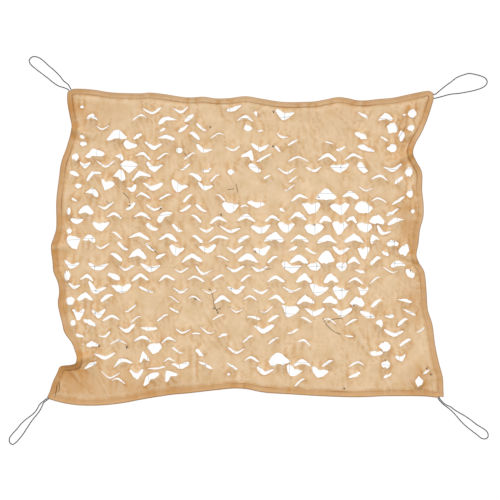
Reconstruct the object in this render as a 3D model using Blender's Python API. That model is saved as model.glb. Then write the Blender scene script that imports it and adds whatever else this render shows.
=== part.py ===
"""A leaf-cut camouflage net with a hemmed edge and a cord loop at each corner, laid out flat.

Metres, +Z up. X runs across the net, Y up the net, and Z = 0 is the ground it lies on.
The origin is on the ground under the middle of the cloth.
Tables are in millimetres and are turned into metres where they are read.

The cloth is one sheet. Rows of cup-shaped cuts hang a leaf from their upper lip, and between
them rows of arch-shaped cuts stand a leaf on their lower lip. Where the sheet is drawn out,
the cuts gape and the leaves lift. Its four edges are turned over into a hem, and a cord comes
out of the hem at each corner as a loop.
"""

import math
import random
from collections import namedtuple

import bpy
import numpy as np
from mathutils.geometry import delaunay_2d_cdt

MM = 0.001

# Cloth and hem.
CLOTH_THICKNESS = 0.0015
HEM_WIDTH = 0.024
HEM_THICKNESS = 0.0028
HEM_BEAD_INSET = 0.006
HEM_BEAD_THICKNESS = 0.0050
HEM_EDGE_THICKNESS = 0.0036
HEM_FOLD_INSET = 0.021
OUTLINE_STEP = 0.050
NORMAL_SPREAD = 0.07
LEAST_FACING = 0.72
POINT_MERGE = 1e-7

# Corner loops.
CORD_DIAMETER = 0.0045
CORD_STEP = 0.0105
CORD_LEAD = 0.008
TOUCH_GAP = 0.0003
FLOOR_GAP = 0.00005

# The lattice of cuts: cups on it, and arches half a pitch across and a little lower.
CUT_PITCH_X = 0.1055
CUT_PITCH_Y = 0.0818
CUT_COLUMNS = 14
CUT_ROWS = 14
FIRST_CUP_X = -0.683
FIRST_CUP_Y = 0.577
ARCH_DROP = 0.062
ROW_SPREAD = 0.008
STRAY_X = 0.0035
STRAY_Y = 0.0025

# One cut.
CUT_HALF_WIDTH = 0.038
NARROWEST, WIDEST = 0.88, 1.08
CUT_SAG = 0.024
CUT_ROUNDING = 0.30
CUT_TURN_DEGREES = 5
LEAF_SHARE = 0.70
LIP_TAPER = 0.85
LEAST_TAPER = 0.5
TAPERS_FROM = 0.040
LIP_SKEW = 0.45
LEAST_OPENING = 0.0045
NARROW_OPENING = 0.016
SLIT_OPENING = 0.0085
SHUT_REACH = 0.65
FULL_REACH_OPENING = 0.050
MARGIN_SAG = 0.004
CUT_MARGIN = 0.007
LEAST_STRIP = 0.006
MOST_CUTS = 298

# How far a leaf's free lip lifts.
LIFT_AT_REST = 0.003
LIFT_PER_OPENING = 0.28
MOST_LIFT = 0.013

# Free field points that carry the waves where no cut is open.
FIELD_STEP = 0.075
FIELD_ROW_STEP = 0.0525
FIELD_CLEARANCE = 0.034
FIELD_SIDE_CLEARANCE = 0.048
WAVE_HEIGHT = 0.0022

Mouth = namedtuple("Mouth", "x y facing width strand_spacing")
Station = namedtuple("Station", "along out")
CutRow = namedtuple("CutRow", "openings parts")
OpenPart = namedtuple("OpenPart", "side share")
OddCut = namedtuple("OddCut", "row column x y half_width sag turn")
MarginCut = namedtuple("MarginCut", "x y half_width opening turn")
Ridge = namedtuple("Ridge", "x1 y1 x2 y2 half_width height")
Wave = namedtuple("Wave", "per_x per_y phase share")
Drawn = namedtuple("Drawn", "x y reach_x reach_y right up")
Cut = namedtuple("Cut", "x y arch half_width sag opening lean reach turn")
Fitting = namedtuple("Fitting", "size inwards")
Finish = namedtuple("Finish", "red green blue roughness")

SAND_CLOTH = Finish(0.74, 0.50, 0.28, 0.85)
DARK_CORD = Finish(0.06, 0.065, 0.05, 0.75)

# Where the hem opens and a loop comes out: its middle, the way it faces in degrees, the
# width of the mouth, and how far apart the loop's two strands leave it.
MOUTHS = {
    "top_left": Mouth(-704, 628, 121, 26, 10),
    "top_right": Mouth(748, 605, 3, 24, 16),
    "bottom_right": Mouth(769, -598, -72, 14, 5.2),
    "bottom_left": Mouth(-791, -601, 221, 14, 5.4),
}
RIGHT_HEM_END = (789, -597)

# Each edge of the net, clockwise: how far its hem swells out of the straight line between
# its two ends, at so far along it.
TOP_EDGE = [
    Station(30, 1), Station(80, -2), Station(140, -11), Station(190, -14), Station(270, -15),
    Station(310, -12), Station(360, -16), Station(460, -29), Station(520, -25), Station(570, -31),
    Station(620, -31), Station(690, -22), Station(760, -31), Station(830, -41), Station(900, -42),
    Station(960, -39), Station(1010, -30), Station(1060, -20), Station(1100, -24),
    Station(1150, -33), Station(1220, -26), Station(1280, -20), Station(1340, -6), Station(1400, 7),
    Station(1426, 9),
]
RIGHT_EDGE = [
    Station(20, -6), Station(60, -20), Station(100, -37), Station(140, -57), Station(170, -76),
    Station(210, -92), Station(240, -81), Station(280, -59), Station(310, -55), Station(360, -58),
    Station(420, -54), Station(470, -57), Station(520, -72), Station(580, -81), Station(620, -90),
    Station(650, -81), Station(690, -60), Station(760, -55), Station(840, -51), Station(900, -35),
    Station(980, -27), Station(1050, -15), Station(1110, -1), Station(1150, 0),
]
BOTTOM_EDGE = [
    Station(60, -6), Station(200, -7), Station(340, -4), Station(460, -8), Station(600, -17),
    Station(690, -24), Station(770, -39), Station(820, -40), Station(900, -32), Station(1000, -21),
    Station(1060, -16), Station(1160, -1), Station(1250, 15), Station(1340, 25), Station(1420, 25),
    Station(1480, 18), Station(1520, 9),
]
LEFT_EDGE = [
    Station(20, -8), Station(60, -18), Station(98, -33), Station(123, -43), Station(130, -66),
    Station(136, -93), Station(144, -107), Station(164, -109), Station(188, -99),
    Station(220, -84), Station(260, -52), Station(300, -39), Station(370, -18),
    Station(420, -20), Station(460, -12), Station(500, 8), Station(540, 15), Station(600, 25),
    Station(640, 16), Station(680, 9), Station(780, 15), Station(880, 11), Station(940, 6),
    Station(1000, -11), Station(1070, -26), Station(1090, -26), Station(1120, -17),
    Station(1180, -2),
]

# How each row of cuts gapes, from left to right: the openings, and the part of each that is open.
CUP_ROWS = [
    CutRow((10, 0, 0, 12, 10, 0, 14, 10, 24, 0, 0, 10, 0, 36), "wwwwwwwlwwwwww"),
    CutRow((0, 6, 0, 8, 12, 10, 24, 6, 8, 0, 0, 20, 42, 36), "wwwwwlwwwwwwww"),
    CutRow((16, 0, 30, 16, 22, 17, 8, 18, 10, 0, 10, 20, 32, 0), "wwlwwlwwwwmlww"),
    CutRow((24, 8, 40, 22, 8, 12, 20, 26, 8, 10, 28, 30, 14, 44), "wwwwrwwlwwwlww"),
    CutRow((18, 34, 18, 22, 32, 24, 0, 0, 6, 0, 0, 6, 0, 30), "wwrwlwwwmwwwww"),
    CutRow((10, 10, 16, 10, 12, 12, 40, 20, 10, 44, 44, 48, 14, 16), "wwmwrlwwwwwwww"),
    CutRow((20, 28, 0, 20, 16, 10, 12, 24, 32, 44, 44, 40, 16, 0), "wwwllwwwwwwwlw"),
    CutRow((50, 8, 16, 12, 32, 24, 14, 28, 10, 10, 20, 44, 14, 46), "wwllwwwwwlwwww"),
    CutRow((20, 20, 10, 18, 8, 10, 12, 12, 32, 36, 36, 10, 6, 26), "wwwwwlwwwwwwww"),
    CutRow((20, 24, 32, 10, 10, 6, 20, 10, 10, 40, 44, 32, 0, 0), "wwwwwwwwwwwwww"),
    CutRow((36, 24, 8, 0, 10, 0, 6, 6, 44, 20, 24, 20, 16, 8), "wwrwwwwwwwwwww"),
    CutRow((18, 10, 16, 14, 8, 6, 0, 22, 10, 0, 6, 0, 16, 12), "wrwwwwwwmwwwwr"),
    CutRow((14, 14, 0, 40, 8, 16, 12, 0, 0, 0, 0, 36, 20, 0), "wwwwlwwwwwwwww"),
    CutRow((0, 8, 28, 8, 20, 0, 10, 20, 36, 32, 14, 0, 12, 10), "wwwwrwwwlwwwww"),
]
ARCH_ROWS = [
    CutRow((20, 0, 8, 18, 16, 0, 12, 0, 0, 0, 0, 24, 8, 0), "wwwwwwwwwwwwww"),
    CutRow((12, 32, 14, 16, 16, 6, 0, 0, 8, 6, 0, 8, 20, 0), "wwwrrwwwwwwwww"),
    CutRow((28, 24, 12, 8, 8, 0, 26, 10, 8, 18, 12, 0, 0, 0), "wrwllwwwwrwwww"),
    CutRow((16, 36, 20, 20, 24, 8, 0, 8, 6, 0, 0, 10, 14, 0), "wrwrrlwwwwwwww"),
    CutRow((22, 0, 10, 10, 12, 14, 16, 0, 12, 44, 24, 8, 12, 0), "rwwllrlwwwwwww"),
    CutRow((32, 12, 12, 24, 12, 16, 18, 20, 18, 36, 32, 34, 16, 0), "wwwlrwwwwwwrlw"),
    CutRow((36, 8, 14, 18, 14, 12, 20, 32, 16, 22, 28, 24, 28, 0), "wrwwrwlwwwwlww"),
    CutRow((0, 18, 32, 12, 20, 6, 22, 12, 24, 48, 26, 18, 20, 0), "wrwwwrwlwwwllw"),
    CutRow((22, 24, 16, 12, 10, 10, 12, 14, 32, 32, 12, 6, 0, 0), "wrwwwllwwwwlww"),
    CutRow((24, 16, 0, 6, 6, 16, 8, 14, 28, 24, 36, 16, 10, 0), "wlwmwwwwwrwlrw"),
    CutRow((16, 12, 6, 8, 0, 6, 10, 12, 8, 6, 8, 28, 14, 0), "wwllwlrlrwlwlw"),
    CutRow((20, 6, 12, 16, 6, 8, 8, 8, 8, 0, 0, 36, 12, 0), "wwwwwwllwwwwlw"),
    CutRow((14, 14, 28, 8, 10, 8, 10, 52, 24, 10, 8, 28, 0, 0), "wwwwwwwwwlwwww"),
    CutRow((0, 6, 24, 24, 0, 0, 0, 0, 8, 0, 0, 0, 36, 0), "wwwwwwwwlwwwww"),
]

# Which stretch of a cut is open: the side it keeps to, and its share of the cut.
OPEN_PARTS = {
    "w": OpenPart(0, 1), "l": OpenPart(-1, 0.62), "r": OpenPart(1, 0.62), "m": OpenPart(0, 0.55),
}

# Cuts that the cloth has drawn out of their place or their form.
ODD_CUPS = [
    OddCut(0, 0, -657, 560, 8, 0, 0), OddCut(0, 3, -377, 558, 38, 24, 3),
    OddCut(0, 6, -49, 557, 32, 7, 20), OddCut(0, 7, 37, 534, 11, 0, -63),
    OddCut(0, 8, 155, 543, 38, 24, -8), OddCut(0, 11, 465, 528, 23, 0, -31),
    OddCut(0, 13, 663, 534, 18, 7, 0), OddCut(1, 3, -335, 470, 13, 2, 27),
    OddCut(1, 4, -251, 475, 25, 3, 37), OddCut(1, 6, 7, 476, 16, 5, 0),
    OddCut(1, 7, 57, 466, 12, 1, 9), OddCut(1, 8, 143, 449, 24, 10, -22),
    OddCut(1, 11, 457, 446, 26, 4, -25), OddCut(1, 12, 583, 476, 23, 8, -20),
    OddCut(1, 13, 668, 484, 20, 6, 10), OddCut(2, 0, -651, 414, 14, 3, 0),
    OddCut(2, 2, -463, 412, 28, 10, -8), OddCut(2, 4, -267, 388, 13, 5, 0),
    OddCut(2, 5, -167, 402, 34, 20, -17), OddCut(2, 8, 125, 392, 17, 1, -45),
    OddCut(2, 11, 479, 394, 35, 4, -16), OddCut(2, 12, 581, 396, 20, 7, 0),
    OddCut(3, 0, -655, 346, 32, 27, -4), OddCut(3, 1, -561, 348, 38, 26, 0),
    OddCut(3, 2, -469, 330, 35, 12, 0), OddCut(3, 5, -159, 312, 20, 10, 11),
    OddCut(3, 6, -61, 302, 14, 4, 0), OddCut(3, 8, 161, 318, 36, 22, 0),
    OddCut(3, 13, 649, 300, 18, 8, 0), OddCut(4, 0, -671, 246, 13, 4, 0),
    OddCut(4, 1, -553, 262, 28, 24, -21), OddCut(4, 2, -459, 244, 20, 18, 11),
    OddCut(4, 4, -265, 256, 36, 26, -19), OddCut(4, 5, -163, 252, 33, 20, -14),
    OddCut(4, 13, 653, 214, 13, 6, 0), OddCut(5, 0, -687, 190, 13, 1, -27),
    OddCut(5, 7, 39, 176, 35, 8, -7), OddCut(5, 8, 143, 150, 12, 2, -31),
    OddCut(5, 9, 259, 172, 38, 28, -6), OddCut(5, 11, 469, 158, 37, 10, 0),
    OddCut(5, 12, 585, 142, 28, 4, 30), OddCut(5, 13, 665, 144, 8, 3, 0),
    OddCut(6, 0, -677, 112, 26, 12, 0), OddCut(6, 6, -65, 82, 43, 20, -8),
    OddCut(6, 10, 375, 94, 32, 28, -4), OddCut(6, 11, 472, 86, 32, 14, -10),
    OddCut(6, 12, 551, 76, 32, 24, -22), OddCut(7, 0, -691, 32, 28, 25, 8),
    OddCut(7, 4, -277, 0, 30, 22, -8), OddCut(7, 8, 187, -4, 20, 3, 24),
    OddCut(7, 11, 469, -4, 25, 32, 0), OddCut(7, 12, 555, -24, 16, 3, -30),
    OddCut(7, 13, 629, -12, 22, 8, 0), OddCut(8, 0, -697, -58, 30, 22, -11),
    OddCut(8, 3, -383, -68, 40, 24, -6), OddCut(8, 5, -169, -80, 35, 28, -13),
    OddCut(8, 8, 181, -68, 40, 24, -6), OddCut(8, 9, 271, -75, 32, 10, -5),
    OddCut(8, 10, 381, -72, 23, 14, 0), OddCut(8, 11, 453, -94, 21, 3, -17),
    OddCut(8, 13, 653, -104, 22, 6, -50), OddCut(9, 1, -595, -148, 38, 32, -18),
    OddCut(9, 2, -499, -152, 40, 22, 0), OddCut(9, 3, -401, -168, 32, 4, -22),
    OddCut(9, 8, 183, -158, 38, 20, -3), OddCut(9, 9, 291, -154, 39, 34, -10),
    OddCut(9, 10, 379, -166, 34, 30, -3), OddCut(9, 11, 467, -162, 31, 30, -11),
    OddCut(10, 0, -671, -248, 25, 33, 0), OddCut(10, 1, -591, -250, 28, 26, 4),
    OddCut(10, 4, -289, -250, 21, 3, -29), OddCut(10, 8, 177, -238, 37, 30, -16),
    OddCut(10, 11, 483, -268, 32, 4, -22), OddCut(10, 12, 571, -274, 18, 4, 0),
    OddCut(10, 13, 651, -258, 29, 2, -28), OddCut(11, 0, -675, -358, 24, 4, -14),
    OddCut(11, 1, -569, -344, 27, 14, 17), OddCut(11, 3, -389, -322, 34, 6, -3),
    OddCut(11, 10, 411, -354, 18, 2, -6), OddCut(12, 0, -675, -400, 7, 2, 0),
    OddCut(12, 1, -565, -422, 42, 22, 3), OddCut(12, 3, -367, -398, 30, 12, 0),
    OddCut(12, 5, -187, -422, 21, 3, -41), OddCut(12, 11, 519, -422, 34, 8, 0),
    OddCut(12, 12, 617, -434, 21, 14, 17), OddCut(13, 1, -543, -496, 40, 26, -6),
    OddCut(13, 2, -439, -490, 28, 29, 4), OddCut(13, 3, -359, -480, 36, 4, 6),
    OddCut(13, 4, -263, -464, 36, 14, 0), OddCut(13, 6, -71, -508, 6, 0, 0),
    OddCut(13, 8, 193, -482, 33, 26, -17), OddCut(13, 9, 295, -488, 35, 24, -13),
    OddCut(13, 10, 433, -510, 26, 3, 23), OddCut(13, 12, 565, -512, 18, 3, 27),
    OddCut(13, 13, 719, -496, 16, 3, 30),
]
ODD_ARCHES = [
    OddCut(0, 0, -616, 515, 21, 16, -13), OddCut(0, 3, -316, 503, 37, 18, 11),
    OddCut(0, 4, -229, 518, 23, 3, 38), OddCut(0, 11, 557, 513, 28, 17, 6),
    OddCut(0, 12, 637, 536, 8, 0, 0), OddCut(1, 0, -655, 444, 10, 1, -27),
    OddCut(1, 1, -517, 436, 42, 24, 5), OddCut(1, 2, -435, 445, 20, 3, 35),
    OddCut(1, 3, -319, 436, 34, 10, -3), OddCut(1, 8, 185, 420, 23, 2, 31),
    OddCut(1, 9, 331, 419, 19, 2, -16), OddCut(1, 11, 553, 434, 19, 2, -32),
    OddCut(1, 12, 617, 446, 22, 2, 90), OddCut(2, 0, -605, 370, 39, 16, 9),
    OddCut(2, 1, -507, 358, 26, 18, -23), OddCut(2, 6, 5, 358, 26, 24, -23),
    OddCut(2, 7, 71, 360, 34, 2, 28), OddCut(2, 8, 207, 344, 42, 20, 0),
    OddCut(2, 9, 323, 348, 38, 26, 0), OddCut(3, 0, -609, 284, 34, 18, 28),
    OddCut(3, 1, -507, 280, 25, 24, -9), OddCut(3, 7, 83, 284, 16, 1, 30),
    OddCut(3, 8, 187, 274, 23, 1, 38), OddCut(3, 12, 609, 270, 21, 3, 41),
    OddCut(4, 0, -617, 214, 27, 18, -13), OddCut(4, 6, -7, 190, 44, 20, -3),
    OddCut(4, 9, 319, 198, 42, 26, 3), OddCut(4, 10, 417, 202, 33, 18, -4),
    OddCut(4, 12, 607, 188, 36, 3, 34), OddCut(5, 0, -641, 140, 30, 22, 0),
    OddCut(5, 3, -325, 122, 35, 14, 31), OddCut(5, 8, 205, 110, 36, 30, 3),
    OddCut(5, 10, 421, 104, 28, 20, -9), OddCut(5, 11, 521, 104, 32, 16, 0),
    OddCut(5, 12, 597, 102, 34, 12, 17), OddCut(6, 2, -429, 36, 42, 20, -5),
    OddCut(6, 5, -111, 28, 41, 20, 11), OddCut(6, 11, 513, 28, 18, 20, 14),
    OddCut(6, 12, 585, 16, 24, 8, 0), OddCut(7, 2, -435, -40, 36, 28, 0),
    OddCut(7, 3, -343, -34, 22, 3, 27), OddCut(7, 4, -217, -56, 42, 28, 5),
    OddCut(7, 9, 319, -49, 34, 24, 0), OddCut(7, 10, 429, -62, 28, 20, -4),
    OddCut(7, 12, 607, -72, 30, 14, 0), OddCut(8, 8, 231, -136, 34, 24, 0),
    OddCut(8, 9, 339, -136, 30, 24, 0), OddCut(9, 8, 237, -222, 36, 26, 3),
    OddCut(9, 9, 335, -218, 30, 16, 4), OddCut(9, 10, 443, -224, 30, 18, 0),
    OddCut(9, 12, 633, -212, 30, 4, -10), OddCut(10, 0, -625, -300, 28, 6, -25),
    OddCut(10, 11, 531, -300, 14, 5, 0), OddCut(11, 0, -615, -390, 24, 10, -5),
    OddCut(11, 1, -511, -388, 36, 20, 0), OddCut(11, 4, -201, -344, 18, 3, 0),
    OddCut(11, 5, -95, -352, 21, 4, 22), OddCut(11, 11, 553, -394, 24, 8, 0),
    OddCut(12, 0, -623, -470, 28, 4, 30), OddCut(12, 1, -493, -470, 39, 24, 15),
    OddCut(12, 2, -407, -454, 20, 30, 6), OddCut(12, 4, -163, -470, 31, 4, -27),
    OddCut(12, 5, -57, -474, 26, 3, -32), OddCut(12, 7, 133, -456, 44, 26, 0),
    OddCut(12, 11, 557, -466, 18, 5, 0), OddCut(13, 2, -381, -526, 40, 14, 41),
    OddCut(13, 3, -299, -520, 28, 24, 34), OddCut(13, 12, 691, -532, 16, 6, 0),
]

# The halves of cuts that the left hem takes in.
MARGIN_CUTS = [
    MarginCut(-683, 364, 14, 28, 0), MarginCut(-687, 296, 20, 16, -25),
    MarginCut(-709, 148, 8, 30, 0), MarginCut(-707, 68, 12, 24, 0),
    MarginCut(-715, -108, 12, 42, 0), MarginCut(-703, -208, 20, 40, 0),
    MarginCut(-703, -304, 14, 32, 0),
]

# Where the rows of cuts are drawn to one side.
DRAWN = [
    Drawn(-600, 0, 330, 620, 0, 12), Drawn(650, 150, 250, 300, 0, -6),
    Drawn(-600, -150, 250, 220, -20, 0), Drawn(0, 570, 900, 90, 0, -16),
    Drawn(-150, 300, 150, 250, -12, 0), Drawn(400, -450, 250, 200, 12, -9),
    Drawn(0, -350, 150, 200, 12, 8),
]

# Soft ridges that run in from the pinches and scallops of the hem.
RIDGES = [
    Ridge(668, 380, 545, 322, 24, 17), Ridge(672, 366, 640, 268, 20, 9),
    Ridge(-695, 474, -600, 440, 22, 12), Ridge(-704, -462, -580, -415, 24, 18),
    Ridge(-712, -474, -640, -560, 18, 8), Ridge(690, -48, 590, -16, 24, 11),
    Ridge(-218, 600, -212, 490, 20, 7), Ridge(-87, 596, -82, 500, 16, 6),
    Ridge(232, 584, 226, 470, 28, 8), Ridge(457, 588, 448, 500, 22, 7),
    Ridge(-25, -570, -32, -470, 20, 8), Ridge(-211, -395, -205, -555, 14, 6),
    Ridge(175, -395, 168, -570, 14, 5), Ridge(437, -325, 508, -450, 24, 9),
    Ridge(-395, 606, -378, 510, 14, 5), Ridge(400, 290, 392, 215, 16, 5),
    Ridge(215, 500, 222, 400, 14, 4), Ridge(-770, 0, -690, 12, 26, 8),
]

# What a cut near the hem or a neighbour is shrunk to, and how far it moves inwards.
FITTINGS = [
    Fitting(1, 0), Fitting(0.85, 0), Fitting(0.85, 6), Fitting(0.7, 0), Fitting(0.7, 12),
    Fitting(0.55, 0), Fitting(0.5, 18), Fitting(0.4, 28),
]

# Long, low waves of a sheet that doesn't lie quite flat.
WAVES = [
    Wave(3.1, 2.1, 0.6, 1.0), Wave(1.9, -3.4, 1.9, 1.0), Wave(-5.3, 1.2, 2.7, 0.6),
    Wave(0.8, 6.1, 4.0, 0.5),
]

# Each loop between its two strands' leads, from one strand round to the other.
LOOP_ROUTES = {
    "top_left": [
        (-713, 653), (-730, 666), (-743, 683), (-758, 699), (-774, 714), (-792, 729), (-809, 745),
        (-825, 757), (-840, 763), (-854, 763), (-864, 756), (-868, 746), (-863, 734), (-850, 721),
        (-831, 706), (-811, 691), (-789, 674), (-768, 657), (-750, 646), (-731, 640),
    ],
    "top_right": [
        (774, 628), (797, 647), (818, 662), (840, 679), (864, 689), (889, 696), (912, 693),
        (938, 686), (956, 677), (963, 663), (956, 648), (938, 637), (910, 628), (876, 621),
        (846, 616), (822, 614), (803, 610), (782, 604),
    ],
    "bottom_right": [
        (786.3, -618.8), (800, -629), (816, -636), (835, -650), (858, -664), (877, -675), (900, -691),
        (922, -708), (942, -720), (959, -732), (967, -747), (964, -760), (953, -765), (938, -761),
        (921, -747), (901, -732), (875, -711), (857, -693), (841, -674), (823, -655), (807, -641),
        (793, -631), (780.8, -620.2),
    ],
    "bottom_left": [
        (-810.1, -620.1), (-815, -631), (-822, -645), (-832, -661), (-847, -679), (-862, -699),
        (-877, -722), (-892, -745), (-907, -764), (-922, -780), (-935, -787), (-946, -778),
        (-947, -763), (-937, -747), (-918, -726), (-899, -703), (-880, -686), (-859, -670),
        (-843, -655), (-834, -641), (-826, -627), (-813.9, -615.9),
    ],
}


def clear_scene():
    """Removes whatever the scene holds."""
    for obj in list(bpy.data.objects):
        bpy.data.objects.remove(obj)


def material(name, finish):
    """A plain non-metal finish."""
    made = bpy.data.materials.new(name)
    made.use_nodes = True
    shader = made.node_tree.nodes["Principled BSDF"]
    shader.inputs["Base Color"].default_value = (finish.red, finish.green, finish.blue, 1.0)
    shader.inputs["Roughness"].default_value = finish.roughness
    shader.inputs["Metallic"].default_value = 0.0
    return made


def smooth_curve(points, step):
    """Points about step apart on a Catmull-Rom curve through points, both ends included."""
    knots = np.array(points, float)
    before, after = 2 * knots[0] - knots[1], 2 * knots[-1] - knots[-2]
    knots = np.vstack([before, knots, after])
    made = []
    for p0, p1, p2, p3 in zip(knots, knots[1:], knots[2:], knots[3:]):
        pieces = max(1, math.ceil(np.linalg.norm(p2 - p1) / step - 0.35))
        for t in np.arange(pieces) / pieces:
            made.append(
                0.5 * (2 * p1 + (p2 - p0) * t + (2 * p0 - 5 * p1 + 4 * p2 - p3) * t**2
                       + (3 * p1 - p0 - 3 * p2 + p3) * t**3)
            )
    made.append(knots[-2])
    return np.array(made)


def even_curve(points, step):
    """Evenly spaced points, about step apart, on the smooth curve through points."""
    fine = smooth_curve(points, step / 8)
    run = np.concatenate([[0], np.cumsum(np.linalg.norm(np.diff(fine, axis=0), axis=1))])
    at = np.linspace(0, run[-1], round(run[-1] / step) + 1)
    return np.stack([np.interp(at, run, fine[:, k]) for k in range(fine.shape[1])], axis=1)


def mouth_frame(mouth):
    """A mouth's middle, the way it faces and the way along it, clockwise round the net."""
    angle = math.radians(mouth.facing)
    facing = np.array([math.cos(angle), math.sin(angle)])
    return np.array([mouth.x, mouth.y]) * MM, facing, np.array([facing[1], -facing[0]])


def mouth_ends(name):
    """The first and last point of a mouth, clockwise round the net."""
    middle, _, along = mouth_frame(MOUTHS[name])
    half = MOUTHS[name].width * MM / 2
    return middle - half * along, middle + half * along


def edge_points(start, end, stations):
    """One edge of the net from start to end, swelling out at its stations."""
    along = (end - start) / np.linalg.norm(end - start)
    out = np.array([-along[1], along[0]])
    knots = [start + s.along * MM * along + s.out * MM * out for s in stations]
    return smooth_curve([start, *knots, end], OUTLINE_STEP)


def net_outline():
    """The cloth's outline, clockwise seen from above."""
    top_left, top_right = mouth_ends("top_left"), mouth_ends("top_right")
    bottom_right, bottom_left = mouth_ends("bottom_right"), mouth_ends("bottom_left")
    hem_end = np.array(RIGHT_HEM_END) * MM
    return np.vstack([
        edge_points(top_left[1], top_right[0], TOP_EDGE),
        edge_points(top_right[1], hem_end, RIGHT_EDGE),
        bottom_right[0],
        edge_points(bottom_right[1], bottom_left[0], BOTTOM_EDGE),
        edge_points(bottom_left[1], top_left[0], LEFT_EDGE),
    ])


def outline_middle():
    """The middle of the outline's box, which is set over the origin."""
    outline = net_outline()
    return (outline.min(axis=0) + outline.max(axis=0)) / 2


def inset(outline, depth):
    """The outline moved inwards by depth, along normals that are smoothed along it."""
    ahead, behind = np.roll(outline, -1, axis=0), np.roll(outline, 1, axis=0)
    tangent = ahead - behind
    normal = np.stack([tangent[:, 1], -tangent[:, 0]], axis=1)
    normal /= np.linalg.norm(normal, axis=1)[:, None]
    length = np.linalg.norm(ahead - outline, axis=1)
    run = np.cumsum(length) - length
    gap = np.abs(run[:, None] - run[None, :])
    gap = np.minimum(gap, length.sum() - gap)
    weight = np.exp(-((gap / NORMAL_SPREAD) ** 2)) * (length + np.roll(length, 1))[None, :]
    soft = weight @ normal
    soft /= np.linalg.norm(soft, axis=1)[:, None]
    facing = np.maximum(LEAST_FACING, (soft * normal).sum(axis=1))
    return outline + soft * (depth / facing)[:, None]


def distance_inside(points, ring):
    """How far each point lies inside the ring, negative outside it."""
    a, b = ring, np.roll(ring, -1, axis=0)
    along = b - a
    share = ((points[:, None] - a) * along).sum(axis=2) / (along**2).sum(axis=1)
    nearest = a + np.clip(share, 0, 1)[..., None] * along
    distance = np.linalg.norm(points[:, None] - nearest, axis=2).min(axis=1)
    x, y = points[:, 0:1], points[:, 1:2]
    crosses = (a[:, 1] > y) != (b[:, 1] > y)
    rise = np.where(along[:, 1] == 0, 1, along[:, 1])
    left = x < a[:, 0] + (y - a[:, 1]) / rise * along[:, 0]
    inside = (crosses & left).sum(axis=1) % 2 == 1
    return np.where(inside, distance, -distance)


def bump(place, x, y):
    """How strongly a patch of the net reaches this place, from 1 at its middle to 0."""
    across = (x / MM - place.x) / place.reach_x
    up = (y / MM - place.y) / place.reach_y
    return math.exp(-(across**2) - up**2)


def lattice_place(row, column, arch):
    """Where a cut of the lattice lies."""
    low = row / (CUT_ROWS - 1)
    x = FIRST_CUP_X + (column + 0.5 * arch) * CUT_PITCH_X + ROW_SPREAD * low**2
    y = FIRST_CUP_Y - row * CUT_PITCH_Y - ARCH_DROP * arch
    right = sum(place.right * bump(place, x, y) for place in DRAWN)
    up = sum(place.up * bump(place, x, y) for place in DRAWN)
    return x + right * MM, y + up * MM


def wanted_cut(row, column, arch):
    """A cut of the lattice, or as the cloth has drawn it, with no hem in its way."""
    chart = (ARCH_ROWS if arch else CUP_ROWS)[row]
    opening = chart.openings[column] * MM
    part = OPEN_PARTS[chart.parts[column]]
    dice = random.Random(1000 * row + 10 * column + arch)
    lean = part.side or dice.uniform(-1, 1)
    reach = min(part.share, SHUT_REACH + opening / FULL_REACH_OPENING)
    x, y = lattice_place(row, column, arch)
    x, y = x + dice.gauss(0, STRAY_X), y + dice.gauss(0, STRAY_Y)
    width = CUT_HALF_WIDTH * dice.uniform(NARROWEST, WIDEST)
    turn = dice.gauss(0, math.radians(CUT_TURN_DEGREES))
    for odd in ODD_ARCHES if arch else ODD_CUPS:
        if (odd.row, odd.column) == (row, column):
            return Cut(odd.x * MM, odd.y * MM, arch, odd.half_width * MM, odd.sag * MM, opening,
                       lean, 1.0, math.radians(odd.turn))
    return Cut(x, y, arch, width, CUT_SAG, opening, lean, reach, turn)


def wanted_cuts():
    """Every cut of the net, as it would be with no hem in its way."""
    cuts = [
        wanted_cut(row, column, arch)
        for row in range(CUT_ROWS) for column in range(CUT_COLUMNS) for arch in (False, True)
    ]
    for cut in MARGIN_CUTS:
        cuts.append(Cut(cut.x * MM, cut.y * MM, True, cut.half_width * MM, MARGIN_SAG,
                        cut.opening * MM, 0.0, 1.0, math.radians(cut.turn)))
    return cuts


def lip_point(cut, share, leaf):
    """A point of one lip of a cut, share from -1 to 1 along its gape. leaf picks the lip."""
    s = cut.lean * (1 - cut.reach) + share * cut.reach
    round_off = math.hypot(1, CUT_ROUNDING) - CUT_ROUNDING
    rise = (math.hypot(s, CUT_ROUNDING) - CUT_ROUNDING) / round_off
    taper = min(LIP_TAPER, max(LEAST_TAPER, LIP_TAPER * cut.opening / TAPERS_FROM))
    gape = cut.opening * max(0.0, 1 - share**2) ** taper
    gape *= 1 + LIP_SKEW * cut.lean * share
    height = cut.sag * (rise - 1) + gape * (LEAF_SHARE if leaf else LEAF_SHARE - 1)
    if cut.arch:
        height = -height
    across = s * cut.half_width
    cos, sin = math.cos(cut.turn), math.sin(cut.turn)
    return cut.x + across * cos - height * sin, cut.y + across * sin + height * cos


def cut_outline(cut):
    """The points round a cut's gap, and how far the leaf's lip lifts at each."""
    lift = min(LIFT_AT_REST + LIFT_PER_OPENING * cut.opening, MOST_LIFT)
    fixed = (-1, -0.5, 0, 0.5, 1) if cut.opening > NARROW_OPENING else (-1, 0, 1)
    leaf = (0.5, 0, -0.5) if cut.opening > SLIT_OPENING else (0,)
    points = [lip_point(cut, share, False) for share in fixed]
    points += [lip_point(cut, share, True) for share in leaf]
    lifts = [0.0] * len(fixed) + [lift * (1 - share**2) for share in leaf]
    return np.array(points), np.array(lifts)


def with_middles(ring):
    """The ring's points and the middles of its sides."""
    return np.vstack([ring, (ring + np.roll(ring, -1, axis=0)) / 2])


def strip_between(one, other):
    """The width of cloth left between two cuts' gaps."""
    return min(-distance_inside(with_middles(one), other).max(),
               -distance_inside(with_middles(other), one).max())


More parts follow.
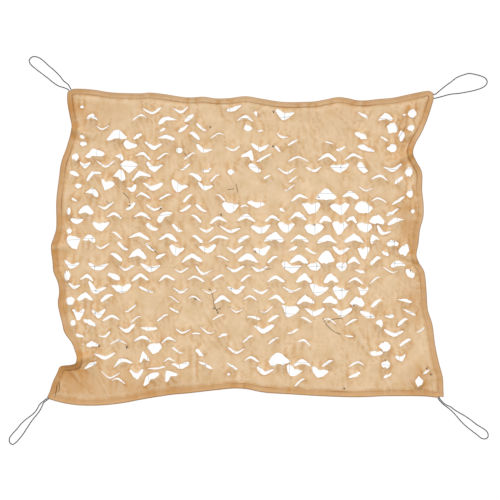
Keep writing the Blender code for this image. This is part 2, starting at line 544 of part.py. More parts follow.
def fitted_cut(cut, seam, placed):
    """The cut as it is, or made smaller and drawn inwards until it clears the hem and the rest."""
    inwards = -np.array([cut.x, cut.y]) / math.hypot(cut.x, cut.y)
    near = [gap for x, y, gap in placed if math.hypot(x - cut.x, y - cut.y) < CUT_PITCH_X]
    for fitting in FITTINGS:
        shift = fitting.inwards * MM * inwards
        tried = cut._replace(
            x=cut.x + shift[0], y=cut.y + shift[1],
            half_width=cut.half_width * fitting.size, sag=cut.sag * fitting.size,
            opening=cut.opening * fitting.size,
        )
        gap = cut_outline(tried)[0]
        if distance_inside(gap, seam).min() < CUT_MARGIN:
            continue
        if all(strip_between(gap, other) > LEAST_STRIP for other in near):
            return tried
    return None


def open_cuts(seam):
    """The cuts that gape wide enough to be cut through, the widest first."""
    cuts, placed = [], []
    for wanted in sorted(wanted_cuts(), key=lambda cut: -cut.opening):
        cut = fitted_cut(wanted, seam, placed)
        if cut and cut.opening >= LEAST_OPENING:
            cuts.append(cut)
            placed.append((cut.x, cut.y, cut_outline(cut)[0]))
    return sorted(cuts, key=lambda cut: -cut.opening)[:MOST_CUTS]


def ground_height(x, y):
    """How far the cloth's underside stands off the ground."""
    low = WAVE_HEIGHT * sum(
        w.share * math.sin(2 * math.pi * (w.per_x * x + w.per_y * y) + w.phase) for w in WAVES
    )
    ridge = 0.0
    for r in RIDGES:
        ax, ay, bx, by = r.x1 * MM, r.y1 * MM, r.x2 * MM, r.y2 * MM
        share = ((x - ax) * (bx - ax) + (y - ay) * (by - ay)) / ((bx - ax) ** 2 + (by - ay) ** 2)
        share = min(1.0, max(0.0, share))
        away = math.hypot(x - ax - share * (bx - ax), y - ay - share * (by - ay))
        fade = 1 - share**2
        rise = r.height * MM * fade * math.exp(-((away / (r.half_width * MM)) ** 2))
        ridge = max(ridge, rise)
    return max(0.0, low + ridge)


def field_points(seam, cuts):
    """Points on an even grid, clear of the seam and of every cut."""
    reach = np.abs(seam).max(axis=0)
    xs = np.arange(-reach[0], reach[0], FIELD_STEP)
    ys = np.arange(-reach[1], reach[1], FIELD_ROW_STEP)
    grid = np.array([(x, y) for y in ys for x in xs])
    grid = grid[distance_inside(grid, seam) > FIELD_CLEARANCE]
    centres = np.array([(c.x, c.y - CUT_SAG / 2 * (1 - 2 * c.arch)) for c in cuts])
    across = (grid[:, None, 0] - centres[:, 0]) / FIELD_SIDE_CLEARANCE
    up = (grid[:, None, 1] - centres[:, 1]) / FIELD_CLEARANCE
    return grid[(across**2 + up**2).min(axis=1) > 1]


def panel_mesh():
    """The cloth and its hem as one closed shell: an upper and a lower skin, and their rims."""
    outline = net_outline()
    bead, fold = inset(outline, HEM_BEAD_INSET), inset(outline, HEM_FOLD_INSET)
    seam = inset(outline, HEM_WIDTH)
    cuts = open_cuts(seam)
    loops = [(outline, HEM_EDGE_THICKNESS, 0), (bead, HEM_BEAD_THICKNESS, 0),
             (fold, HEM_THICKNESS, 0), (seam, CLOTH_THICKNESS, 0)]
    loops += [(points, CLOTH_THICKNESS, lifts) for points, lifts in map(cut_outline, cuts)]
    field = field_points(seam, cuts)
    loops.append((field, CLOTH_THICKNESS, 0))

    flat = np.vstack([points for points, _, _ in loops])
    thick = np.concatenate([np.full(len(points), t) for points, t, _ in loops])
    lift = np.concatenate([np.zeros(len(points)) + up for points, _, up in loops])
    edges, start = [], 0
    for points, _, _ in loops[:-1]:
        count = len(points)
        edges += [(start + k, start + (k + 1) % count) for k in range(count)]
        start += count
    inside_only = 1
    found = delaunay_2d_cdt([tuple(p) for p in flat], edges, [], inside_only, POINT_MERGE)
    points, triangles, origins = found[0], found[2], found[3]
    source = np.array([first[0] for first in origins])
    triangles = drop_hole_faces(points, triangles, cuts)

    under = np.array([ground_height(x, y) for x, y in flat[source]]) + lift[source]
    over = under + thick[source]
    count = len(points)
    middle_x, middle_y = outline_middle()
    lower = [(p[0] - middle_x, p[1] - middle_y, z) for p, z in zip(points, under)]
    upper = [(p[0] - middle_x, p[1] - middle_y, z) for p, z in zip(points, over)]
    faces = [(a, b, c) for a, b, c in triangles]
    skin = [(a + count, b + count, c + count) for a, b, c in faces]
    skin += [(c, b, a) for a, b, c in faces]
    sides = {(t[k], t[(k + 1) % 3]) for t in faces for k in range(3)}
    rims = sorted((a, b) for a, b in sides if (b, a) not in sides)
    skin += [(a, b, b + count, a + count) for a, b in rims]
    return lower + upper, skin


def drop_hole_faces(points, triangles, cuts):
    """The triangles, counter-clockwise, without any that lies in a cut's gap."""
    corners = np.array([[tuple(points[i]) for i in t] for t in triangles])
    centres = corners.mean(axis=1)
    keep = np.ones(len(triangles), bool)
    for cut in cuts:
        near = np.hypot(centres[:, 0] - cut.x, centres[:, 1] - cut.y) < 2 * CUT_HALF_WIDTH
        near = np.where(near & keep)[0]
        keep[near] = distance_inside(centres[near], cut_outline(cut)[0]) < 0
    ab, ac = corners[:, 1] - corners[:, 0], corners[:, 2] - corners[:, 0]
    clockwise = ab[:, 0] * ac[:, 1] - ab[:, 1] * ac[:, 0] < 0
    return [tuple(t[::-1]) if c else tuple(t) for t, c, k in zip(triangles, clockwise, keep) if k]


def build_panel(finish):
    """The net's one cloth panel."""
    vertices, faces = panel_mesh()
    mesh = bpy.data.meshes.new("net_panel")
    mesh.from_pydata(vertices, [], faces)
    mesh.materials.append(finish)
    mesh.shade_smooth()
    mesh.set_sharp_from_angle(angle=math.radians(40))
    panel = bpy.data.objects.new("net_panel", mesh)
    bpy.context.scene.collection.objects.link(panel)


def loop_route(name):
    """The middle line of a corner loop, from one strand's end round to the other's."""
    middle, facing, along = mouth_frame(MOUTHS[name])
    side = MOUTHS[name].strand_spacing * MM / 2 * along
    near = middle + TOUCH_GAP * facing
    lead = middle + CORD_LEAD * facing
    free = [np.array(p) * MM for p in LOOP_ROUTES[name]]
    first = 1 if np.dot(free[0] - middle, along) > np.dot(free[-1] - middle, along) else -1
    route = [near + first * side, lead + first * side, *free,
             lead - first * side, near - first * side]
    return even_curve(route, CORD_STEP)


def build_loop(name, finish):
    """A corner loop of round cord, lying on the ground."""
    curve = bpy.data.curves.new("loop_" + name, "CURVE")
    curve.dimensions = "3D"
    curve.bevel_depth = CORD_DIAMETER / 2
    curve.bevel_resolution = 2
    curve.use_fill_caps = True
    curve.materials.append(finish)
    route = loop_route(name) - outline_middle()
    spline = curve.splines.new("POLY")
    spline.points.add(len(route) - 1)
    height = CORD_DIAMETER / 2 + FLOOR_GAP
    for point, (x, y) in zip(spline.points, route):
        point.co = (x, y, height, 1.0)
    spline.use_smooth = True
    loop = bpy.data.objects.new("loop_" + name, curve)
    bpy.context.scene.collection.objects.link(loop)


def main():
    """Builds the panel and its four loops."""
    clear_scene()
    build_panel(material("sand_cloth", SAND_CLOTH))
    dark_cord = material("dark_cord", DARK_CORD)
    for name in MOUTHS:
        build_loop(name, dark_cord)


main()
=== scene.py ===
"""Looks for a leaf-cut sand camouflage net with a hemmed edge and corner loops, laid out flat.

Metres, +Z up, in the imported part's own frame: Z = 0 is the ground, and the middle of the cloth
stands over the origin. Tables are in millimetres from the net's drawing point, a few
millimetres from that middle, and are turned into metres where they are read.
"""

import logging
import math
import random
from dataclasses import dataclass, field
from enum import Enum
from typing import Any, NamedTuple, Sequence

import bpy
import numpy as np
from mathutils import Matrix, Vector, noise
from mathutils.geometry import delaunay_2d_cdt
from mathutils.kdtree import KDTree


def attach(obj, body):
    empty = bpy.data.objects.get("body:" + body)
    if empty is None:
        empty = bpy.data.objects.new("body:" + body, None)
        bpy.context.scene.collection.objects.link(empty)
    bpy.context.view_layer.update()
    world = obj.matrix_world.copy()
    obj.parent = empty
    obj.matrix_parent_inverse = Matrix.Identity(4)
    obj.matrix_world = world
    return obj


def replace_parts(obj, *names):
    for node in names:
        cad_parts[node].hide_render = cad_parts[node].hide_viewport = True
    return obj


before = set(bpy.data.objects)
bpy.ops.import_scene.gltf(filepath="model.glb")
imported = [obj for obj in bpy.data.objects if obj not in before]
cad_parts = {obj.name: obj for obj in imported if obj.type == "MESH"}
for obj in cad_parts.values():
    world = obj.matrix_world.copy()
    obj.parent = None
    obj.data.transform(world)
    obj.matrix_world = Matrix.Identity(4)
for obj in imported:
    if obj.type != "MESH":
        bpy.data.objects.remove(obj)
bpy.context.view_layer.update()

LOG = logging.getLogger("net")
MM = 0.001
BODY = "root"
LOBES = 3
MIDDLE_BAND = (0.3, 0.7)


class Corner(Enum):
    """The net's corners, by the words that end their loops' names."""

    TOP_LEFT = "top_left"
    TOP_RIGHT = "top_right"
    BOTTOM_RIGHT = "bottom_right"
    BOTTOM_LEFT = "bottom_left"


class CutShape(Enum):
    """A cup hangs its leaf from the upper lip, and an arch stands its leaf on the lower one."""

    CUP = 1
    ARCH = -1


class Lip(Enum):
    """The two lips of a cut."""

    LEAF = "leaf"
    FIXED = "fixed"


class Mouth(NamedTuple):
    """Where the hem opens at a corner: its middle, the way it faces in degrees, its width, and
    how far apart the loop's two strands leave it."""

    x: float
    y: float
    facing: float
    width: float
    strand_spacing: float


class Swell(NamedTuple):
    """How far an edge swells out of its straight line, at so far along it."""

    along: float
    out: float


class CutRow(NamedTuple):
    """How a row of cuts gapes, from left to right: the openings, and which part of each is open."""

    openings: tuple[int, ...]
    parts: str


class OpenPart(NamedTuple):
    """The stretch of a cut that is open: the side it keeps to, and its share of the cut."""

    side: float
    share: float


class OddCut(NamedTuple):
    """A cut that the cloth has drawn out of its place or its form."""

    row: int
    column: int
    x: float
    y: float
    half_width: float
    sag: float
    turn: float = 0


class MarginCut(NamedTuple):
    """The half of a cut that the left hem takes in."""

    x: float
    y: float
    half_width: float
    opening: float
    turn: float


class Drawn(NamedTuple):
    """A stretch of the net where the rows of cuts are drawn to one side."""

    x: float
    y: float
    reach_x: float
    reach_y: float
    right: float
    up: float


class TintPatch(NamedTuple):
    """A stretch of cloth painted warmer and darker, or paler where its strength is below zero."""

    x: float
    y: float
    reach_x: float
    reach_y: float
    strength: float


class Ridge(NamedTuple):
    """A soft fold from a high end to a low end."""

    x1: float
    y1: float
    x2: float
    y2: float
    half_width: float
    height: float


class Wave(NamedTuple):
    """One long low wave: its crests per metre, its phase and its share of the height."""

    per_x: float
    per_y: float
    phase: float
    share: float


class Fitting(NamedTuple):
    """What a cut near the hem is shrunk to, and how far it moves inwards."""

    size: float
    inwards: float


class HemRow(NamedTuple):
    """One row of the hem's section: how far in from the edge, its faces' heights, and how dark it is
    painted, mostly painted shade at the rolled edge and in the seam's groove.
    """

    inset: float
    top: float
    bottom: float
    wear_and_shade: float


class Grain(NamedTuple):
    """A noise pattern over the cloth: how large its features are, and which pattern it is."""

    size_x: float
    size_y: float
    seed: float


class Strand(NamedTuple):
    """A bit of the support twine that has slipped through a cut and lies on the cloth."""

    route: tuple[tuple[float, float], ...]
    knotted: bool = False


class Cut(NamedTuple):
    """One cut of the net, in metres."""

    x: float
    y: float
    shape: CutShape
    half_width: float
    sag: float
    opening: float
    lean: float
    reach: float
    turn: float


MOUTHS = {
    Corner.TOP_LEFT: Mouth(-704, 628, 121, 26, 10),
    Corner.TOP_RIGHT: Mouth(748, 605, 3, 24, 16),
    Corner.BOTTOM_RIGHT: Mouth(769, -598, -72, 14, 5.2),
    Corner.BOTTOM_LEFT: Mouth(-791, -601, 221, 14, 5.4),
}
RIGHT_HEM_END = (789, -597)

TOP_EDGE = [Swell(*row) for row in (
    (30, 1), (80, -2), (140, -11), (190, -14), (270, -15), (310, -12), (360, -16), (460, -29),
    (520, -25), (570, -31), (620, -31), (690, -22), (760, -31), (830, -41), (900, -42), (960, -39),
    (1010, -30), (1060, -20), (1100, -24), (1150, -33), (1220, -26), (1280, -20), (1340, -6), (1400, 7),
    (1426, 9),
)]
RIGHT_EDGE = [Swell(*row) for row in (
    (20, -6), (60, -20), (100, -37), (140, -57), (170, -76), (210, -92), (240, -81), (280, -59),
    (310, -55), (360, -58), (420, -54), (470, -57), (520, -72), (580, -81), (620, -90), (650, -81),
    (690, -60), (760, -55), (840, -51), (900, -35), (980, -27), (1050, -15), (1110, -1), (1150, 0),
)]
BOTTOM_EDGE = [Swell(*row) for row in (
    (60, -6), (200, -7), (340, -4), (460, -8), (600, -17), (690, -24), (770, -39), (820, -40),
    (900, -32), (1000, -21), (1060, -16), (1160, -1), (1250, 15), (1340, 25), (1420, 25), (1480, 18),
    (1520, 9),
)]
LEFT_EDGE = [Swell(*row) for row in (
    (20, -8), (60, -18), (98, -33), (123, -43), (130, -66), (136, -93), (144, -107), (164, -109),
    (188, -99), (220, -84), (260, -52), (300, -39), (370, -18), (420, -20), (460, -12), (500, 8),
    (540, 15), (600, 25), (640, 16), (680, 9), (780, 15), (880, 11), (940, 6), (1000, -11), (1070, -26),
    (1090, -26), (1120, -17), (1180, -2),
)]

CUP_ROWS = [CutRow(*row) for row in (
    ((10, 0, 0, 12, 10, 0, 14, 10, 24, 0, 0, 10, 0, 36), "wwwwwwwlwwwwww"),
    ((0, 6, 0, 8, 12, 10, 24, 6, 8, 0, 0, 20, 42, 36), "wwwwwlwwwwwwww"),
    ((16, 0, 30, 16, 22, 17, 8, 18, 10, 0, 10, 20, 32, 0), "wwlwwlwwwwmlww"),
    ((24, 8, 40, 22, 8, 12, 20, 26, 8, 10, 28, 30, 14, 44), "wwwwrwwlwwwlww"),
    ((18, 34, 18, 22, 32, 24, 0, 0, 6, 0, 0, 6, 0, 30), "wwrwlwwwmwwwww"),
    ((10, 10, 16, 10, 12, 12, 40, 20, 10, 44, 44, 48, 14, 16), "wwmwrlwwwwwwww"),
    ((20, 28, 0, 20, 16, 10, 12, 24, 32, 44, 44, 40, 16, 0), "wwwllwwwwwwwlw"),
    ((50, 8, 16, 12, 32, 24, 14, 28, 10, 10, 20, 44, 14, 46), "wwllwwwwwlwwww"),
    ((20, 20, 10, 18, 8, 10, 12, 12, 32, 36, 36, 10, 6, 26), "wwwwwlwwwwwwww"),
    ((20, 24, 32, 10, 10, 6, 20, 10, 10, 40, 44, 32, 0, 0), "wwwwwwwwwwwwww"),
    ((36, 24, 8, 0, 10, 0, 6, 6, 44, 20, 24, 20, 16, 8), "wwrwwwwwwwwwww"),
    ((18, 10, 16, 14, 8, 6, 0, 22, 10, 0, 6, 0, 16, 12), "wrwwwwwwmwwwwr"),
    ((14, 14, 0, 40, 8, 16, 12, 0, 0, 0, 0, 36, 20, 0), "wwwwlwwwwwwwww"),
    ((0, 8, 28, 8, 20, 0, 10, 20, 36, 32, 14, 0, 12, 10), "wwwwrwwwlwwwww"),
)]
ARCH_ROWS = [CutRow(*row) for row in (
    ((20, 0, 8, 18, 16, 0, 12, 0, 0, 0, 0, 24, 8, 0), "wwwwwwwwwwwwww"),
    ((12, 32, 14, 16, 16, 6, 0, 0, 8, 6, 0, 8, 20, 0), "wwwrrwwwwwwwww"),
    ((28, 24, 12, 8, 8, 0, 26, 10, 8, 18, 12, 0, 0, 0), "wrwllwwwwrwwww"),
    ((16, 36, 20, 20, 24, 8, 0, 8, 6, 0, 0, 10, 14, 0), "wrwrrlwwwwwwww"),
    ((22, 0, 10, 10, 12, 14, 16, 0, 12, 44, 24, 8, 12, 0), "rwwllrlwwwwwww"),
    ((32, 12, 12, 24, 12, 16, 18, 20, 18, 36, 32, 34, 16, 0), "wwwlrwwwwwwrlw"),
    ((36, 8, 14, 18, 14, 12, 20, 32, 16, 22, 28, 24, 28, 0), "wrwwrwlwwwwlww"),
    ((0, 18, 32, 12, 20, 6, 22, 12, 24, 48, 26, 18, 20, 0), "wrwwwrwlwwwllw"),
    ((22, 24, 16, 12, 10, 10, 12, 14, 32, 32, 12, 6, 0, 0), "wrwwwllwwwwlww"),
    ((24, 16, 0, 6, 6, 16, 8, 14, 28, 24, 36, 16, 10, 0), "wlwmwwwwwrwlrw"),
    ((16, 12, 6, 8, 0, 6, 10, 12, 8, 6, 8, 28, 14, 0), "wwllwlrlrwlwlw"),
    ((20, 6, 12, 16, 6, 8, 8, 8, 8, 0, 0, 36, 12, 0), "wwwwwwllwwwwlw"),
    ((14, 14, 28, 8, 10, 8, 10, 52, 24, 10, 8, 28, 0, 0), "wwwwwwwwwlwwww"),
    ((0, 6, 24, 24, 0, 0, 0, 0, 8, 0, 0, 0, 36, 0), "wwwwwwwwlwwwww"),
)]

OPEN_PARTS = {
    "w": OpenPart(0, 1), "l": OpenPart(-1, 0.62), "r": OpenPart(1, 0.62), "m": OpenPart(0, 0.55),
}

ODD_CUPS = [OddCut(*row) for row in (
    (0, 0, -657, 560, 8, 0), (0, 3, -377, 558, 38, 24, 3), (0, 6, -49, 557, 32, 7, 20),
    (0, 7, 37, 534, 11, 0, -63), (0, 8, 155, 543, 38, 24, -8), (0, 11, 465, 528, 23, 0, -31),
    (0, 13, 663, 534, 18, 7), (1, 3, -335, 470, 13, 2, 27), (1, 4, -251, 475, 25, 3, 37),
    (1, 6, 7, 476, 16, 5), (1, 7, 57, 466, 12, 1, 9), (1, 8, 143, 449, 24, 10, -22),
    (1, 11, 457, 446, 26, 4, -25), (1, 12, 583, 476, 23, 8, -20), (1, 13, 668, 484, 20, 6, 10),
    (2, 0, -651, 414, 14, 3), (2, 2, -463, 412, 28, 10, -8), (2, 4, -267, 388, 13, 5),
    (2, 5, -167, 402, 34, 20, -17), (2, 8, 125, 392, 17, 1, -45), (2, 11, 479, 394, 35, 4, -16),
    (2, 12, 581, 396, 20, 7), (3, 0, -655, 346, 32, 27, -4), (3, 1, -561, 348, 38, 26),
    (3, 2, -469, 330, 35, 12), (3, 5, -159, 312, 20, 10, 11), (3, 6, -61, 302, 14, 4),
    (3, 8, 161, 318, 36, 22), (3, 13, 649, 300, 18, 8), (4, 0, -671, 246, 13, 4),
    (4, 1, -553, 262, 28, 24, -21), (4, 2, -459, 244, 20, 18, 11), (4, 4, -265, 256, 36, 26, -19),
    (4, 5, -163, 252, 33, 20, -14), (4, 13, 653, 214, 13, 6), (5, 0, -687, 190, 13, 1, -27),
    (5, 7, 39, 176, 35, 8, -7), (5, 8, 143, 150, 12, 2, -31), (5, 9, 259, 172, 38, 28, -6),
    (5, 11, 469, 158, 37, 10), (5, 12, 585, 142, 28, 4, 30), (5, 13, 665, 144, 8, 3),
    (6, 0, -677, 112, 26, 12), (6, 6, -65, 82, 43, 20, -8), (6, 10, 375, 94, 32, 28, -4),
    (6, 11, 472, 86, 32, 14, -10), (6, 12, 551, 76, 32, 24, -22), (7, 0, -691, 32, 28, 25, 8),
    (7, 4, -277, 0, 30, 22, -8), (7, 8, 187, -4, 20, 3, 24), (7, 11, 469, -4, 25, 32),
    (7, 12, 555, -24, 16, 3, -30), (7, 13, 629, -12, 22, 8), (8, 0, -697, -58, 30, 22, -11),
    (8, 3, -383, -68, 40, 24, -6), (8, 5, -169, -80, 35, 28, -13), (8, 8, 181, -68, 40, 24, -6),
    (8, 9, 271, -75, 32, 10, -5), (8, 10, 381, -72, 23, 14), (8, 11, 453, -94, 21, 3, -17),
    (8, 13, 653, -104, 22, 6, -50), (9, 1, -595, -148, 38, 32, -18), (9, 2, -499, -152, 40, 22),
    (9, 3, -401, -168, 32, 4, -22), (9, 8, 183, -158, 38, 20, -3), (9, 9, 291, -154, 39, 34, -10),
    (9, 10, 379, -166, 34, 30, -3), (9, 11, 467, -162, 31, 30, -11), (10, 0, -671, -248, 25, 33),
    (10, 1, -591, -250, 28, 26, 4), (10, 4, -289, -250, 21, 3, -29), (10, 8, 177, -238, 37, 30, -16),
    (10, 11, 483, -268, 32, 4, -22), (10, 12, 571, -274, 18, 4), (10, 13, 651, -258, 29, 2, -28),
    (11, 0, -675, -358, 24, 4, -14), (11, 1, -569, -344, 27, 14, 17), (11, 3, -389, -322, 34, 6, -3),
    (11, 10, 411, -354, 18, 2, -6), (12, 0, -675, -400, 7, 2), (12, 1, -565, -422, 42, 22, 3),
    (12, 3, -367, -398, 30, 12), (12, 5, -187, -422, 21, 3, -41), (12, 11, 519, -422, 34, 8),
    (12, 12, 617, -434, 21, 14, 17), (13, 1, -543, -496, 40, 26, -6), (13, 2, -439, -490, 28, 29, 4),
    (13, 3, -359, -480, 36, 4, 6), (13, 4, -263, -464, 36, 14), (13, 6, -71, -508, 6, 0),
    (13, 8, 193, -482, 33, 26, -17), (13, 9, 295, -488, 35, 24, -13), (13, 10, 433, -510, 26, 3, 23),
    (13, 12, 565, -512, 18, 3, 27), (13, 13, 719, -496, 16, 3, 30),
)]
ODD_ARCHES = [OddCut(*row) for row in (
    (0, 0, -616, 515, 21, 16, -13), (0, 3, -316, 503, 37, 18, 11), (0, 4, -229, 518, 23, 3, 38),
    (0, 11, 557, 513, 28, 17, 6), (0, 12, 637, 536, 8, 0), (1, 0, -655, 444, 10, 1, -27),
    (1, 1, -517, 436, 42, 24, 5), (1, 2, -435, 445, 20, 3, 35), (1, 3, -319, 436, 34, 10, -3),
    (1, 8, 185, 420, 23, 2, 31), (1, 9, 331, 419, 19, 2, -16), (1, 11, 553, 434, 19, 2, -32),
    (1, 12, 617, 446, 22, 2, 90), (2, 0, -605, 370, 39, 16, 9), (2, 1, -507, 358, 26, 18, -23),
    (2, 6, 5, 358, 26, 24, -23), (2, 7, 71, 360, 34, 2, 28), (2, 8, 207, 344, 42, 20),
    (2, 9, 323, 348, 38, 26), (3, 0, -609, 284, 34, 18, 28), (3, 1, -507, 280, 25, 24, -9),
    (3, 7, 83, 284, 16, 1, 30), (3, 8, 187, 274, 23, 1, 38), (3, 12, 609, 270, 21, 3, 41),
    (4, 0, -617, 214, 27, 18, -13), (4, 6, -7, 190, 44, 20, -3), (4, 9, 319, 198, 42, 26, 3),
    (4, 10, 417, 202, 33, 18, -4), (4, 12, 607, 188, 36, 3, 34), (5, 0, -641, 140, 30, 22),
    (5, 3, -325, 122, 35, 14, 31), (5, 8, 205, 110, 36, 30, 3), (5, 10, 421, 104, 28, 20, -9),
    (5, 11, 521, 104, 32, 16), (5, 12, 597, 102, 34, 12, 17), (6, 2, -429, 36, 42, 20, -5),
    (6, 5, -111, 28, 41, 20, 11), (6, 11, 513, 28, 18, 20, 14), (6, 12, 585, 16, 24, 8),
    (7, 2, -435, -40, 36, 28), (7, 3, -343, -34, 22, 3, 27), (7, 4, -217, -56, 42, 28, 5),
    (7, 9, 319, -49, 34, 24), (7, 10, 429, -62, 28, 20, -4), (7, 12, 607, -72, 30, 14),
    (8, 8, 231, -136, 34, 24), (8, 9, 339, -136, 30, 24), (9, 8, 237, -222, 36, 26, 3),
    (9, 9, 335, -218, 30, 16, 4), (9, 10, 443, -224, 30, 18), (9, 12, 633, -212, 30, 4, -10),
    (10, 0, -625, -300, 28, 6, -25), (10, 11, 531, -300, 14, 5), (11, 0, -615, -390, 24, 10, -5),
    (11, 1, -511, -388, 36, 20), (11, 4, -201, -344, 18, 3), (11, 5, -95, -352, 21, 4, 22),
    (11, 11, 553, -394, 24, 8), (12, 0, -623, -470, 28, 4, 30), (12, 1, -493, -470, 39, 24, 15),
    (12, 2, -407, -454, 20, 30, 6), (12, 4, -163, -470, 31, 4, -27), (12, 5, -57, -474, 26, 3, -32),
    (12, 7, 133, -456, 44, 26), (12, 11, 557, -466, 18, 5), (13, 2, -381, -526, 40, 14, 41),
    (13, 3, -299, -520, 28, 24, 34), (13, 12, 691, -532, 16, 6),
)]

MARGIN_CUTS = [MarginCut(*row) for row in (
    (-683, 364, 14, 28, 0), (-687, 296, 20, 16, -25), (-709, 148, 8, 30, 0), (-707, 68, 12, 24, 0),
    (-715, -108, 12, 42, 0), (-703, -208, 20, 40, 0), (-703, -304, 14, 32, 0),
)]

DRAWN = [Drawn(*row) for row in (
    (-600, 0, 330, 620, 0, 12), (650, 150, 250, 300, 0, -6), (-600, -150, 250, 220, -20, 0),
    (0, 570, 900, 90, 0, -16), (-150, 300, 150, 250, -12, 0), (400, -450, 250, 200, 12, -9),
    (0, -350, 150, 200, 12, 8),
)]

RIDGES = [Ridge(*row) for row in (
    (668, 380, 545, 322, 24, 17), (672, 366, 640, 268, 20, 9), (-695, 474, -600, 440, 22, 12),
    (-704, -462, -580, -415, 24, 18), (-712, -474, -640, -560, 18, 8), (690, -48, 590, -16, 24, 11),
    (-218, 600, -212, 490, 20, 7), (-87, 596, -82, 500, 16, 6), (232, 584, 226, 470, 28, 8),
    (457, 588, 448, 500, 22, 7), (-25, -570, -32, -470, 20, 8), (-211, -395, -205, -555, 14, 6),
    (175, -395, 168, -570, 14, 5), (437, -325, 508, -450, 24, 9), (-395, 606, -378, 510, 14, 5),
    (400, 290, 392, 215, 16, 5), (215, 500, 222, 400, 14, 4), (-770, 0, -690, 12, 26, 8),
)]

WAVES = [
    Wave(3.1, 2.1, 0.6, 1.0), Wave(1.9, -3.4, 1.9, 1.0), Wave(-5.3, 1.2, 2.7, 0.6),
    Wave(0.8, 6.1, 4.0, 0.5),
]

FITTINGS = [
    Fitting(1, 0), Fitting(0.85, 0), Fitting(0.85, 6), Fitting(0.7, 0), Fitting(0.7, 12),
    Fitting(0.55, 0), Fitting(0.5, 18), Fitting(0.4, 28),
]

# The last column is how dark each row is painted: painted shade at the rolled edge and in the seam's
# groove, a light brown over the doubled band between.
HEM_ROWS = [HemRow(*row) for row in (
    (0, 2.9, 1.5, 0.95), (1.0, 3.9, 0.7, 0.80), (2.5, 4.6, 0.15, 0.60), (4.5, 5.0, 0, 0.36),
    (6.5, 4.6, 0, 0.20), (8.5, 3.5, 0, 0.16), (11, 2.7, 0, 0.16), (14, 2.5, 0, 0.18),
    (17.5, 2.4, 0, 0.26), (19.8, 2.1, 0, 0.55), (21.3, 1.7, 0, 0.85), (22.8, 1.6, 0, 0.50),
    (25, 1.1, 0, 0),
)]
FIRST_SEWN_ROW = 9
STITCHED_ROW = 10

# Stretches painted warmer and darker, most of them near the edges and corners, and paler where the strength
# is below zero.
TINT_PATCHES = [TintPatch(*row) for row in (
    (-705, 550, 70, 80, 0.9), (-560, 550, 90, 50, 0.45), (380, 560, 90, 50, 0.35),
    (690, 545, 60, 70, 0.55), (640, 430, 50, 80, 0.6), (650, 100, 42, 100, 1.1),
    (668, -210, 45, 90, 0.75), (700, -540, 70, 90, 0.65), (712, 110, 26, 90, -0.55),
    (690, 440, 26, 80, -0.5), (350, -570, 300, 50, 0.25), (-100, -560, 120, 50, 0.35),
    (-300, -560, 150, 60, 0.35), (-500, -560, 140, 60, 0.5), (-700, -530, 110, 80, 1.0),
    (-750, 280, 50, 200, 0.25), (-770, -100, 50, 280, 0.5), (-705, -490, 34, 26, 1.0),
    (200, -40, 300, 260, -0.45), (50, 605, 520, 32, -0.4), (-150, -585, 500, 26, 0.15),
)]

LOOP_ROUTES = {
    Corner.TOP_LEFT: [
        (-713, 653), (-730, 666), (-743, 683), (-758, 699), (-774, 714), (-792, 729), (-809, 745),
        (-825, 757), (-840, 763), (-854, 763), (-864, 756), (-868, 746), (-863, 734), (-850, 721),
        (-831, 706), (-811, 691), (-789, 674), (-768, 657), (-750, 646), (-731, 640),
    ],
    Corner.TOP_RIGHT: [
        (774, 628), (797, 647), (818, 662), (840, 679), (864, 689), (889, 696), (912, 693),
        (938, 686), (956, 677), (963, 663), (956, 648), (938, 637), (910, 628), (876, 621),
        (846, 616), (822, 614), (803, 610), (782, 604),
    ],
    Corner.BOTTOM_RIGHT: [
        (786.3, -618.8), (800, -629), (816, -636), (835, -650), (858, -664), (877, -675), (900, -691),
        (922, -708), (942, -720), (959, -732), (967, -747), (964, -760), (953, -765), (938, -761),
        (921, -747), (901, -732), (875, -711), (857, -693), (841, -674), (823, -655), (807, -641),
        (793, -631), (780.8, -620.2),
    ],
    Corner.BOTTOM_LEFT: [
        (-810.1, -620.1), (-815, -631), (-822, -645), (-832, -661), (-847, -679), (-862, -699),
        (-877, -722), (-892, -745), (-907, -764), (-922, -780), (-935, -787), (-946, -778),
        (-947, -763), (-937, -747), (-918, -726), (-899, -703), (-880, -686), (-859, -670),
        (-843, -655), (-834, -641), (-826, -627), (-813.9, -615.9),
    ],
}

STRANDS = [
    Strand(((-255, 386), (-243, 372), (-232, 356))),
    Strand(((-500, 223), (-484, 212), (-470, 194), (-463, 168)), True),
    Strand(((-41, 262), (-38, 240), (-33, 216))),
    Strand(((-84, 232), (-62, 233), (-42, 237))),
    Strand(((302, -278), (321, -308), (338, -326), (360, -340), (386, -348))),
    Strand(((318, -304), (338, -290), (362, -284), (386, -284))),
    Strand(((-140, -172), (-134, -196), (-128, -228), (-118, -252)), True),
    Strand(((-406, 14), (-388, 8), (-370, -8), (-352, -30))),
    Strand(((638, 484), (624, 462), (608, 438))),
    Strand(((604, 524), (607, 512), (613, 502))),
    Strand(((648, 522), (664, 518), (682, 513))),
    Strand(((62, -80), (84, -86), (104, -82))),
    Strand(((-750, -534), (-747, -556), (-751, -584))),
    Strand(((-757, -545), (-760, -575), (-768, -606))),
    Strand(((-480, -386), (-478, -400), (-479, -414))),
    Strand(((-566, 192), (-548, 176), (-536, 182))),
]

KNOTS = [
    (-145, 484), (-343, 158), (-144, -168), (109, 541), (105, 404), (291, 200), (273, 89),
    (-479, -398), (-591, -394), (-207, -205), (36, -14), (429, -232), (393, -564),
    (717, -481), (736, -505), (654, -90), (-98, 130), (-127, -243), (-113, -258), (-108, -244),
]


